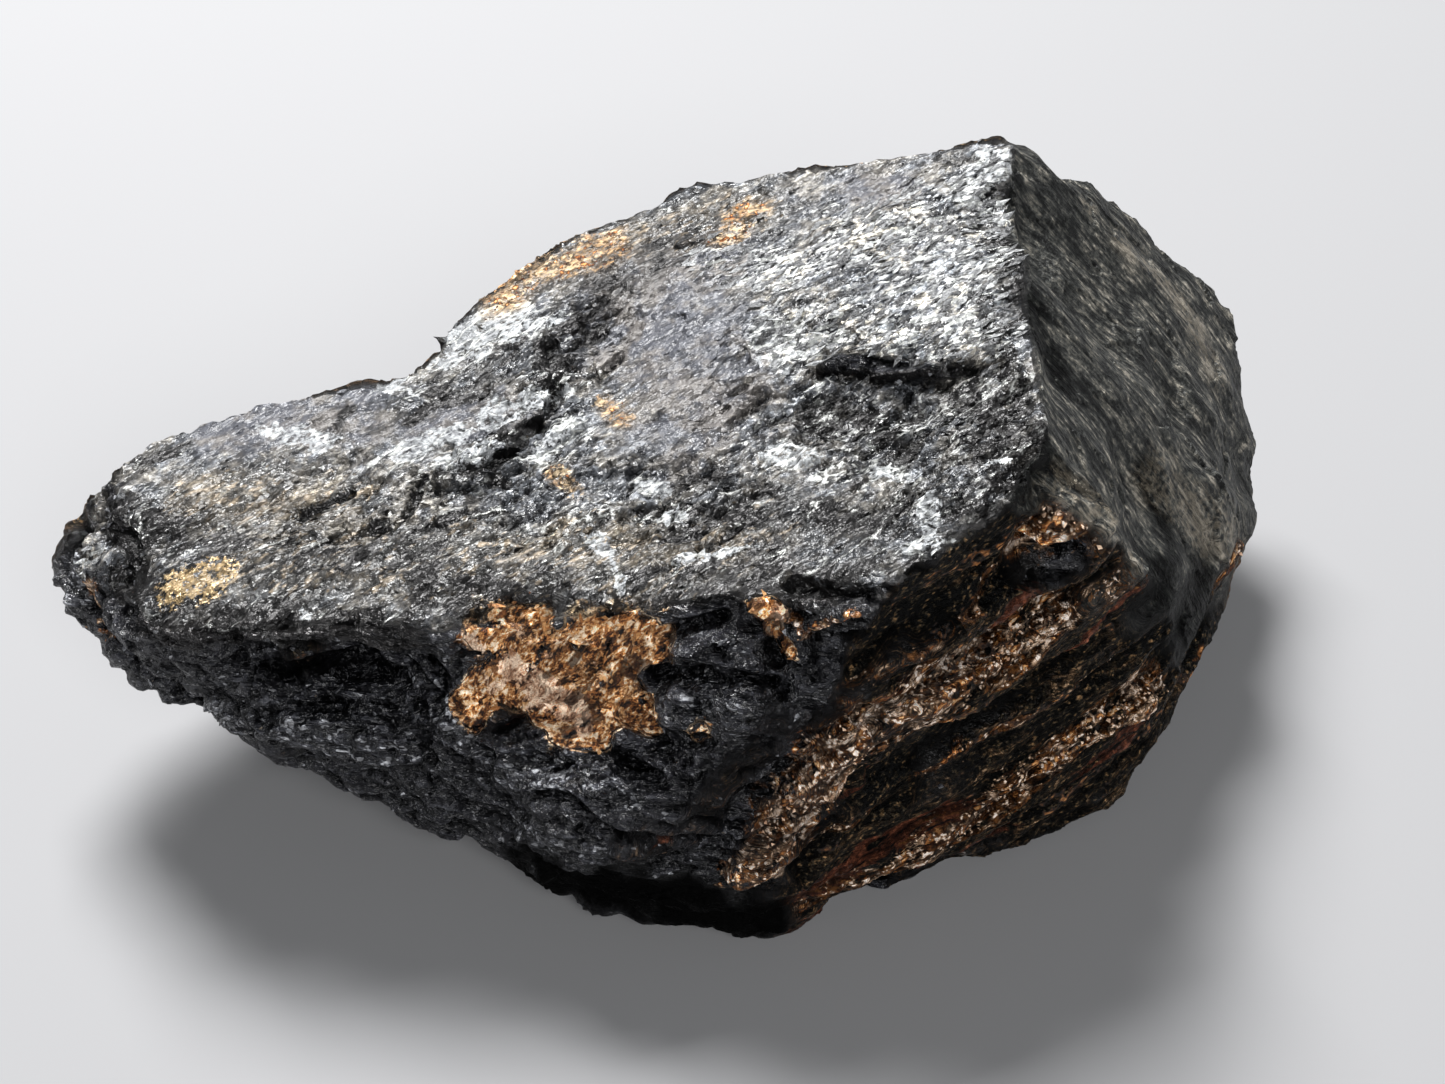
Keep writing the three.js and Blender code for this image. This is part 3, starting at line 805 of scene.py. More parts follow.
class Wiring:
    """Adds nodes to a shader tree. A value handed to a node is a socket, a number or a tuple.

    Sums over plain numbers are done here, so that what a mask of 0 hides makes no nodes.
    """

    sums = {
        "ADD": lambda a, b: a + b, "SUBTRACT": lambda a, b: a - b, "MULTIPLY": lambda a, b: a * b,
        "DIVIDE": lambda a, b: a / b, "MAXIMUM": max,
    }

    def __init__(self, tree):
        self.tree = tree

    def feed(self, value, socket):
        if isinstance(value, bpy.types.NodeSocket):
            self.tree.links.new(value, socket)
        elif value is not None:
            socket.default_value = value

    def node(self, kind, inputs=(), **settings):
        node = self.tree.nodes.new(kind)
        for name, value in settings.items():
            setattr(node, name, value)
        for key, value in dict(inputs).items():
            self.feed(value, node.inputs[key])
        return node

    def math(self, operation, first, second=None, clamp=False):
        if is_number(first) and is_number(second):
            result = self.sums[operation](first, second)
            return min(max(result, 0.0), 1.0) if clamp else result
        if operation == "MULTIPLY" and (is_zero(first) or is_zero(second)):
            return 0.0
        node = self.node("ShaderNodeMath", {0: first, 1: second}, operation=operation)
        node.use_clamp = clamp
        return node.outputs[0]

    def add(self, *terms):
        total = terms[0]
        for term in terms[1:]:
            total = self.math("ADD", total, term)
        return total

    def times(self, *factors):
        product = factors[0]
        for factor in factors[1:]:
            product = self.math("MULTIPLY", product, factor)
        return product

    def highest(self, *values):
        top = values[0]
        for value in values[1:]:
            top = self.math("MAXIMUM", top, value)
        return top

    def less(self, first, second):
        return self.math("SUBTRACT", first, second)

    def vector(self, operation, first, second=None):
        node = self.node("ShaderNodeVectorMath", {0: first, 1: second}, operation=operation)
        return node.outputs["Value" if operation == "DOT_PRODUCT" else "Vector"]

    def scaled(self, vector, factor):
        node = self.node("ShaderNodeVectorMath", {0: vector, "Scale": factor}, operation="SCALE")
        return node.outputs["Vector"]

    def between(self, value, low, high, to_low=0.0, to_high=1.0):
        """The value taken smoothly from one range to another, and held at its ends."""
        if is_number(value):
            share = min(max((value - low) / (high - low), 0.0), 1.0)
            return to_low + (to_high - to_low) * share * share * (3 - 2 * share)
        range_ends = {"From Min": low, "From Max": high, "To Min": to_low, "To Max": to_high}
        node = self.node(
            "ShaderNodeMapRange", {"Value": value, **range_ends}, interpolation_type="SMOOTHSTEP"
        )
        return node.outputs["Result"]

    def mix(self, factor, first, second):
        if is_number(factor) and factor in (0, 1):
            return second if factor else first
        node = self.node("ShaderNodeMix", {0: factor, 6: first, 7: second}, data_type="RGBA")
        return node.outputs[2]

    def blend_values(self, factor, first, second):
        if is_number(factor) and factor in (0, 1):
            return second if factor else first
        node = self.node("ShaderNodeMix", {0: factor, 2: first, 3: second}, data_type="FLOAT")
        return node.outputs[0]

    def blend_vectors(self, factor, first, second):
        if is_number(factor) and factor in (0, 1):
            return second if factor else first
        node = self.node("ShaderNodeMix", {0: factor, 4: first, 5: second}, data_type="VECTOR")
        return node.outputs[1]

    def multiply(self, first, second):
        inputs = {0: 1.0, 6: first, 7: second}
        node = self.node("ShaderNodeMix", inputs, data_type="RGBA", blend_type="MULTIPLY")
        return node.outputs[2]

    def ramp(self, value, stops):
        """A colour for each value, from (position, colour) stops."""
        node = self.node("ShaderNodeValToRGB", {0: value})
        elements = node.color_ramp.elements
        while len(elements) < len(stops):
            elements.new(0.5)
        for element, (position, colour) in zip(elements, stops):
            element.position = position
            element.color = (*colour, 1)
        return node.outputs["Color"]

    def group(self, tree, **inputs):
        node = self.tree.nodes.new("ShaderNodeGroup")
        node.node_tree = tree
        for name, value in inputs.items():
            self.feed(value, node.inputs[name.replace("_", " ")])
        return node.outputs

    def masks(self, attribute):
        """The four masks kept in one colour attribute."""
        node = self.node("ShaderNodeAttribute", attribute_name=attribute)
        parts = self.node("ShaderNodeSeparateColor", {0: node.outputs["Color"]}).outputs
        return parts[0], parts[1], parts[2], node.outputs["Alpha"]


def new_group(name, inputs, outputs):
    """An empty shader node group, its wiring, the sockets to read it by and those to feed."""
    tree = bpy.data.node_groups.new(name, "ShaderNodeTree")
    for socket, (kind, value) in inputs.items():
        made = tree.interface.new_socket(socket, in_out="INPUT", socket_type=kind)
        if value is not None:
            made.default_value = value
    for socket, kind in outputs.items():
        tree.interface.new_socket(socket, in_out="OUTPUT", socket_type=kind)
    wire = Wiring(tree)
    entry = tree.nodes.new("NodeGroupInput").outputs
    exits = tree.nodes.new("NodeGroupOutput").inputs
    return tree, wire, entry, exits


VECTOR, FLOAT = "NodeSocketVector", "NodeSocketFloat"


def facets_group():
    """Small flat facets, each tilted its own way. Height is in millimetres."""
    tree, wire, entry, exits = new_group(
        "facets",
        {"Vector": (VECTOR, None), "Size": (FLOAT, 0.5), "Tilt": (FLOAT, 0.3)},
        {"Height": FLOAT, "Shade": FLOAT},
    )
    scale = wire.math("DIVIDE", 1 / MM, entry["Size"])
    cells = wire.node("ShaderNodeTexVoronoi", {"Vector": entry["Vector"], "Scale": scale})
    away = wire.vector("SUBTRACT", entry["Vector"], cells.outputs["Position"])
    lean = wire.vector("SUBTRACT", cells.outputs["Color"], (0.5, 0.5, 0.5))
    slope = wire.times(wire.vector("DOT_PRODUCT", away, lean), entry["Tilt"])
    wire.feed(wire.times(slope, 2 / MM), exits["Height"])
    parts = wire.node("ShaderNodeSeparateColor", {0: cells.outputs["Color"]}).outputs
    wire.feed(parts[1], exits["Shade"])
    return tree


def mottle_group():
    """Cloudy variation from 0 to 1 about a middle of 0.5."""
    tree, wire, entry, exits = new_group(
        "mottle",
        {"Vector": (VECTOR, None), "Size": (FLOAT, 1.0), "Contrast": (FLOAT, 1.0)},
        {"Value": FLOAT},
    )
    scale = wire.math("DIVIDE", 1 / MM, entry["Size"])
    cloud = wire.node(
        "ShaderNodeTexNoise",
        {"Vector": entry["Vector"], "Scale": scale, "Detail": 3.0, "Roughness": 0.68},
    )
    swing = wire.times(wire.less(cloud.outputs[0], 0.5), entry["Contrast"])
    wire.feed(wire.math("ADD", wire.times(swing, 1.8), 0.5, clamp=True), exits["Value"])
    return tree


def drawn_out_group():
    """Squeezes a vector along a grain, so that a pattern over it is drawn out along the grain."""
    tree, wire, entry, exits = new_group(
        "drawn out",
        {"Vector": (VECTOR, None), "Grain": (VECTOR, None), "Stretch": (FLOAT, 3.0)},
        {"Vector": VECTOR},
    )
    along = wire.vector("DOT_PRODUCT", entry["Vector"], entry["Grain"])
    share = wire.less(wire.math("DIVIDE", 1.0, entry["Stretch"]), 1.0)
    shift = wire.scaled(entry["Grain"], wire.times(along, share))
    wire.feed(wire.vector("ADD", entry["Vector"], shift), exits["Vector"])
    return tree


def broken_mask_group():
    """A painted mask whose edge is broken up by a mottle."""
    tree, wire, entry, exits = new_group(
        "broken mask",
        {"Mask": (FLOAT, 0.0), "Mottle": (FLOAT, 0.5), "Raggedness": (FLOAT, 1.0)},
        {"Mask": FLOAT},
    )
    swing = wire.times(wire.less(entry["Mottle"], 0.5), entry["Raggedness"])
    there = wire.between(entry["Mask"], 0.02, 0.2)
    ragged = wire.between(wire.add(entry["Mask"], swing), 0.3, 0.62)
    wire.feed(wire.times(there, ragged), exits["Mask"])
    return tree


def grains_group():
    """Irregular grains of a second mineral. Amount is about the share of the surface they take."""
    tree, wire, entry, exits = new_group(
        "grains",
        {"Vector": (VECTOR, None), "Size": (FLOAT, 0.4), "Amount": (FLOAT, 0.5)},
        {"Mask": FLOAT, "Shade": FLOAT},
    )
    scale = wire.math("DIVIDE", 0.55 / MM, entry["Size"])
    cloud = wire.node(
        "ShaderNodeTexNoise",
        {"Vector": entry["Vector"], "Scale": scale, "Detail": 1.5, "Roughness": 0.65},
    )
    level = wire.less(0.76, wire.times(entry["Amount"], 0.52))
    wire.feed(wire.between(cloud.outputs[0], level, wire.add(level, 0.04)), exits["Mask"])
    shade = wire.between(cloud.outputs[0], wire.add(level, 0.01), wire.add(level, 0.17))
    wire.feed(shade, exits["Shade"])
    return tree


def veins_group():
    """Thin broken lines that run round plates. Amount is how much of them is there."""
    tree, wire, entry, exits = new_group(
        "veins",
        {
            "Vector": (VECTOR, None), "Size": (FLOAT, 2.0), "Width": (FLOAT, 0.06),
            "Amount": (FLOAT, 0.5),
        },
        {"Mask": FLOAT},
    )
    scale = wire.math("DIVIDE", 1 / MM, entry["Size"])
    bend = wire.node(
        "ShaderNodeTexNoise",
        {"Vector": entry["Vector"], "Scale": wire.times(scale, 1.7), "Detail": 1.0},
    )
    shove = wire.vector("SUBTRACT", bend.outputs["Color"], (0.5, 0.5, 0.5))
    shove = wire.scaled(shove, wire.times(entry["Size"], 0.9 * MM))
    bent = wire.vector("ADD", entry["Vector"], shove)
    cells = wire.node(
        "ShaderNodeTexVoronoi", {"Vector": bent, "Scale": scale}, feature="DISTANCE_TO_EDGE"
    )
    line = wire.between(cells.outputs["Distance"], entry["Width"], 0.0)
    cloud = wire.node(
        "ShaderNodeTexNoise",
        {"Vector": entry["Vector"], "Scale": wire.times(scale, 0.9), "Detail": 1.0},
    )
    swing = wire.times(wire.less(cloud.outputs[0], 0.5), 2.2)
    here = wire.between(wire.add(swing, 0.5, entry["Amount"]), 0.85, 1.1)
    wire.feed(wire.times(line, here), exits["Mask"])
    return tree


# ---- Materials -------------------------------------------------------------------------------------
# Stops of linear colour, from the darkest parts of each mineral to its brightest.
CLEAVAGE_COLOURS = (
    (0.0, (0.006, 0.006, 0.006)), (0.22, (0.026, 0.026, 0.027)), (0.48, (0.095, 0.096, 0.099)),
    (0.72, (0.22, 0.224, 0.228)), (1.0, (0.6, 0.615, 0.605)),
)
SMOOTH_COLOURS = ((0.0, (0.02, 0.02, 0.022)), (0.5, (0.074, 0.073, 0.08)), (1.0, (0.19, 0.19, 0.2)))
END_COLOURS = (
    (0.0, (0.003, 0.003, 0.003)), (0.3, (0.015, 0.016, 0.015)), (0.52, (0.05, 0.051, 0.047)),
    (0.78, (0.14, 0.132, 0.112)), (1.0, (0.36, 0.33, 0.28)),
)
LAYER_COLOURS = (
    (0.0, (0.002, 0.002, 0.002)), (0.42, (0.007, 0.006, 0.005)), (0.62, (0.028, 0.019, 0.012)),
    (0.8, (0.11, 0.065, 0.034)), (1.0, (0.42, 0.28, 0.17)),
)
HACKLY_COLOURS = (
    (0.0, (0.003, 0.003, 0.0035)), (0.4, (0.01, 0.01, 0.012)), (0.7, (0.035, 0.036, 0.042)),
    (1.0, (0.42, 0.43, 0.46)),
)
TAN_COLOURS = (
    (0.0, (0.014, 0.007, 0.003)), (0.35, (0.125, 0.072, 0.037)), (0.6, (0.4, 0.255, 0.155)),
    (0.82, (0.68, 0.5, 0.37)), (1.0, (0.94, 0.82, 0.73)),
)
RUST_COLOURS = (
    (0.0, (0.005, 0.0025, 0.0015)), (0.4, (0.045, 0.018, 0.007)), (0.75, (0.22, 0.09, 0.028)),
    (1.0, (0.6, 0.32, 0.13)),
)
OCHRE_COLOURS = (
    (0.0, (0.02, 0.006, 0.002)), (0.25, (0.14, 0.042, 0.01)), (0.55, (0.46, 0.185, 0.05)),
    (0.8, (0.76, 0.43, 0.18)), (1.0, (0.96, 0.78, 0.57)),
)
HEART_COLOURS = ((0.0, (0.16, 0.07, 0.035)), (0.5, (0.62, 0.37, 0.23)), (1.0, (1.0, 0.76, 0.56)))
RED_COLOURS = (
    (0.0, (0.006, 0.003, 0.002)), (0.5, (0.07, 0.022, 0.012)), (1.0, (0.36, 0.12, 0.06)),
)
PALE_COLOURS = ((0.0, (0.08, 0.083, 0.087)), (0.5, (0.23, 0.238, 0.246)), (1.0, (0.66, 0.68, 0.68)))
# Painted shade: near black for the belly, and for dark patches on the cross-breaks.
BELLY_SHADE_COLOUR = (0.004, 0.004, 0.004, 1)
DARK_COLOUR = (0.02, 0.019, 0.019, 1)
END_DUST_COLOUR = (0.16, 0.135, 0.1, 1)
# Painted glints on the hackly break.
GLINT_FLECK_COLOUR = (0.18, 0.182, 0.19, 1)
GLINT_COLOUR = (0.6, 0.61, 0.585, 1)
AMBER_GAP_COLOUR = (0.04, 0.014, 0.004, 1)
SPECK_COLOURS = (
    (0.0, (0.01, 0.008, 0.005)), (0.5, (0.05, 0.04, 0.027)), (0.8, (0.13, 0.08, 0.04)),
    (1.0, (0.36, 0.21, 0.1)),
)
YELLOW_COLOURS = (
    (0.0, (0.06, 0.042, 0.02)), (0.5, (0.27, 0.19, 0.095)), (1.0, (0.66, 0.5, 0.3)),
)
HAZE_COLOURS = ((0.0, (0.05, 0.04, 0.03)), (1.0, (0.32, 0.26, 0.19)))
OCHRE_TINT, HAZE_TINT = (1.15, 0.8, 0.45, 1), (0.8, 0.72, 0.6, 1)
COOL_TINT, WARM_TINT = (0.93, 0.97, 1.04, 1), (1.1, 1.01, 0.88, 1)


def bump(wire, shader, height):
    """Turns a height in millimetres into a slope of the surface."""
    node = wire.node("ShaderNodeBump", {"Height": height, "Distance": MM, "Strength": 1.0})
    wire.feed(node.outputs[0], shader.inputs["Normal"])


def new_material(name):
    material = bpy.data.materials.new(name)
    material.use_nodes = True
    wire = Wiring(material.node_tree)
    return material, wire, material.node_tree.nodes["Principled BSDF"]


class StonePatterns:
    """The masks of one of the stone's materials, and the patterns that its minerals share.

    known holds the masks that are the same number wherever the material is used. Sizes are in
    millimetres.
    """

    def __init__(self, wire, groups, known):
        self.wire, self.groups = wire, groups
        self.place = wire.node("ShaderNodeTexCoord").outputs["Object"]
        for attribute, names in MASKS.items():
            for mask, socket in zip(names, wire.masks(attribute)):
                setattr(self, mask, known.get(mask, socket))
        self.broken = wire.less(1.0, wire.highest(self.cleavage, self.end))
        self.filled = wire.times(self.ochre, self.broken)
        self.standing = wire.less(self.ridge, self.hollow)
        self.fine = self.mottled(self.place, 0.5)
        self.medium = self.mottled(self.place, 1.6)
        self.broad = self.mottled(self.place, 6.0)
        self.scaly = self.drawn(CLEAVAGE_GRAIN, 2.2)
        self.silvery = self.drawn(SILVER_GRAIN, 4.0)
        self.fibrous = self.drawn(FILL_GRAIN, 3.5)
        self.draw_by_face()

    def drawn(self, grain, stretch):
        """Places squeezed along a grain. A stretch below 1 flattens a pattern across it instead."""
        return self.wire.group(
            self.groups["drawn out"], Vector=self.place, Grain=tuple(grain), Stretch=stretch
        )[0]

    def mottled(self, vector, size, contrast=1.0):
        return self.wire.group(self.groups["mottle"], Vector=vector, Size=size, Contrast=contrast)[0]

    def grains(self, vector, size, amount):
        return self.wire.group(self.groups["grains"], Vector=vector, Size=size, Amount=amount)

    def off_middle(self, value, weight):
        return self.wire.times(self.wire.less(value, 0.5), weight)

    def by_face(self, on_hackly, on_cleavage, on_layers, on_end, in_hollow):
        """A vector with a grain and scale of its own on each kind of face and in the fill."""
        wire = self.wire
        chosen = wire.blend_vectors(self.cleavage, on_hackly, on_cleavage)
        chosen = wire.blend_vectors(self.layered, chosen, on_layers)
        chosen = wire.blend_vectors(self.end, chosen, on_end)
        return wire.blend_vectors(wire.between(self.filled, 0.2, 0.3), chosen, in_hollow)

    def draw_by_face(self):
        """One coarse pattern, one streaky one and one set of chips, laid out for each face."""
        scaled = self.wire.scaled
        layers = self.drawn(LAYER_NORMAL, 1 / 7.0)
        self.coarse = self.mottled(self.by_face(
            scaled(self.place, 1 / 1.2), scaled(self.silvery, 1 / 0.8), scaled(layers, 1 / 3.6),
            scaled(self.drawn(END_GRAIN, 2.0), 1 / 3.5), scaled(self.fibrous, 1 / 0.9),
        ), 1.0, 1.5)
        self.streaky = self.mottled(self.by_face(
            scaled(self.drawn(HACKLY_GRAIN, 5.0), 1 / 0.45), scaled(self.scaly, 1 / 1.1),
            scaled(layers, 1 / 1.5), scaled(self.drawn(END_GRAIN, 5.0), 1 / 0.5),
            scaled(self.fibrous, 1 / 0.3),
        ), 1.0, 1.5)
        self.chips = self.wire.group(
            self.groups["facets"], Size=0.35, Tilt=0.8,
            Vector=self.by_face(
                self.place, self.scaly, self.place, self.place, scaled(self.fibrous, 1 / 1.5)
            ),
        )

    def stained(self, colour, mask, mottling, raggedness, stain):
        """Lays a stain with a ragged edge over a colour. Returns the colour and where the stain is."""
        if is_zero(mask):
            return colour, 0.0
        there = self.wire.group(
            self.groups["broken mask"], Mask=mask, Mottle=mottling, Raggedness=raggedness
        )[0]
        return self.wire.mix(there, colour, stain), there

    def grained(self, colour, mask, vector, size, colours, bias=0.0):
        """Lays grains of a mineral over a colour, as thickly as its mask says."""
        if is_zero(mask):
            return colour, 0.0
        grains = self.grains(vector, size, mask)
        value = self.wire.add(
            0.5 + bias, self.off_middle(grains["Shade"], 0.8), self.off_middle(self.fine, 0.6)
        )
        return self.wire.mix(grains["Mask"], colour, self.wire.ramp(value, colours)), grains["Mask"]


def cleavage_colour(wire, on):
    """Scales drawn out along the grain, bright where they catch the light, over a smoother sheet."""
    value = wire.add(
        0.42, on.off_middle(on.chips["Shade"], 0.34), on.off_middle(on.streaky, 0.45),
        on.off_middle(on.broad, 0.3), on.off_middle(on.fine, 0.7),
        # Painted sheen: the silver part is made lighter.
        wire.times(on.silver, wire.between(on.coarse, 0.25, 0.75, -0.06, 0.42)),
        wire.times(on.silver, wire.between(on.medium, 0.35, 0.68, -0.14, 0.2)),
    )
    sheet = wire.add(0.5, on.off_middle(on.fine, 0.5), on.off_middle(on.medium, 0.35))
    colour = wire.mix(
        wire.times(on.smooth, 0.88),
        wire.ramp(value, CLEAVAGE_COLOURS), wire.ramp(sheet, SMOOTH_COLOURS),
    )
    warmth = wire.between(wire.add(on.broad, on.off_middle(on.medium, 0.9)), 0.3, 0.7)
    colour = wire.multiply(colour, wire.mix(warmth, COOL_TINT, WARM_TINT))
    pepper = on.grains(on.scaly, 0.3, wire.between(on.smooth, 0.0, 1.0, 0.3, 0.13))
    return wire.mix(wire.times(pepper["Mask"], 0.8), colour, DARK_COLOUR)


def end_colour(wire, on):
    """The right-hand break: scratches that run down it, and dust."""
    value = wire.add(
        0.45, on.off_middle(on.streaky, 0.85), on.off_middle(on.coarse, 0.3),
        on.off_middle(on.medium, 0.45), on.off_middle(on.fine, 0.7), wire.times(on.tan, 0.24),
        # Painted shade: darker where the dark mask marks the shadowed parts of the break.
        wire.times(on.dark, -0.3),
    )
    dusty = wire.between(wire.add(on.fine, on.off_middle(on.coarse, 0.5)), 0.35, 0.7)
    return wire.mix(wire.times(on.tan, dusty, 0.6), wire.ramp(value, END_COLOURS), END_DUST_COLOUR)


def layered_colour(wire, on):
    """The cross-breaks: thin layers seen edge on."""
    return wire.ramp(wire.add(
        0.36, on.off_middle(on.coarse, 0.8), on.off_middle(on.streaky, 0.52),
        # Darker under the dark mask, which on the cross-breaks is mostly painted shade.
        on.off_middle(on.fine, 0.6), wire.times(on.standing, 0.14), wire.times(on.dark, -0.2),
    ), LAYER_COLOURS)


def hackly_colour(wire, on):
    """The hackly break: satin black with a painted sheen along its ripples. Returns its painted glint
    flecks too.
    """
    amount = wire.add(
        wire.between(on.medium, 0.4, 0.85, 0.06, 0.28), wire.times(on.silver, 0.22),
        wire.times(on.ridge, 0.06),
    )
    glint_flecks = on.grains(on.drawn(HACKLY_GRAIN, 1.8), 0.24, amount)["Mask"]
    value = wire.add(
        0.3, on.off_middle(on.streaky, 0.52), on.off_middle(on.chips["Shade"], 0.25),
        on.off_middle(on.medium, 0.4), wire.times(glint_flecks, 0.3),
        wire.times(on.silver, wire.between(on.streaky, 0.35, 0.7, 0.0, 0.22)),
    )
    return wire.ramp(value, HACKLY_COLOURS), glint_flecks


def bright_lines(wire, on):
    """Where the cleavage glints: on thin broken lines round its plates, and on bright grains."""
    glinting = wire.add(
        wire.times(on.pale, 0.6), wire.times(on.silver, -0.1), wire.times(on.ridge, 0.1),
        wire.times(on.smooth, -0.5), 0.08,
    )
    lines = wire.group(on.groups["veins"], Vector=on.scaly, Size=1.5, Width=0.07, Amount=glinting)[0]
    glints = on.grains(
        wire.blend_vectors(wire.between(on.silver, 0.3, 0.4), wire.scaled(on.scaly, 1.25), on.silvery),
        0.3,
        wire.add(
            0.17, wire.times(on.pale, 0.16), wire.times(on.silver, 0.25), wire.times(on.ridge, 0.05),
            wire.times(on.smooth, -0.12),
        ),
    )["Mask"]
    glints = wire.times(glints, wire.between(on.silver, 0.0, 0.5, 0.5, 0.7))
    bright = wire.highest(wire.times(lines, 0.8), glints)
    return wire.times(on.cleavage, bright, wire.between(on.dark, 0.0, 0.42, 1.0, 0.65))


def lay_tan(wire, on, colour, crumb_value):
    """Tan mineral: grains of two sizes in bands on the breaks, and a yellow stain on the cleavage."""
    there = wire.times(on.tan, wire.less(1.0, on.end), wire.less(1.0, on.cleavage), on.streaky)
    there = wire.math("MULTIPLY", there, 2.0, clamp=True)
    banded = on.drawn(BAND_GRAIN, 3.0)
    colour, wide = on.grained(colour, wire.times(there, 0.55), banded, 0.5, TAN_COLOURS, -0.02)
    colour, _ = on.grained(colour, wire.times(there, 0.45), banded, 0.35, OCHRE_COLOURS, -0.05)
    colour, fine = on.grained(colour, wire.times(there, 0.5), on.place, 0.24, TAN_COLOURS, 0.12)
    colour, _ = on.stained(
        colour, wire.times(on.tan, on.cleavage, 0.72), on.fine, 2.2,
        wire.ramp(crumb_value, YELLOW_COLOURS),
    )
    return colour, wire.highest(wide, fine)


def lay_ochre(wire, on, colour):
    """Ochre: a film on the cleavage, and bladed amber in the front hollow with a pale heart."""
    value = wire.add(
        0.56, on.off_middle(on.coarse, 1.0), on.off_middle(on.fine, 0.5),
        on.off_middle(on.chips["Shade"], 0.4), on.off_middle(on.streaky, 1.5),
        wire.times(on.standing, 0.15),
    )
    amber = wire.mix(
        wire.between(on.medium, 0.5, 0.75),
        wire.ramp(value, OCHRE_COLOURS), wire.ramp(wire.add(value, 0.05), RUST_COLOURS),
    )
    heart = wire.add(on.tan, on.off_middle(on.fine, 0.8), on.off_middle(on.medium, 1.2))
    amber = wire.mix(
        wire.between(heart, 0.3, 0.6), amber, wire.ramp(wire.add(value, 0.1), HEART_COLOURS)
    )
    gaps = on.grains(on.fibrous, 0.9, 0.3)["Mask"]
    amber = wire.mix(wire.times(gaps, 0.85), amber, AMBER_GAP_COLOUR)
    colour = wire.mix(wire.times(on.ochre, on.cleavage), colour, wire.multiply(colour, OCHRE_TINT))
    there = wire.group(
        on.groups["broken mask"], Raggedness=1.5,
        Mask=wire.times(on.ochre, wire.blend_values(on.cleavage, 1.0, 0.45)),
        Mottle=wire.blend_values(on.cleavage, on.coarse, on.fine),
    )[0]
    there = wire.times(there, wire.blend_values(on.cleavage, 1.0, 0.6))
    film = wire.mix(0.65, amber, wire.ramp(value, YELLOW_COLOURS))
    colour = wire.mix(there, colour, wire.mix(on.cleavage, amber, film))
    colour, fine = on.grained(
        colour, wire.times(on.ochre, on.cleavage, 0.36), on.place, 0.3, OCHRE_COLOURS, -0.12
    )
    return colour, there, fine


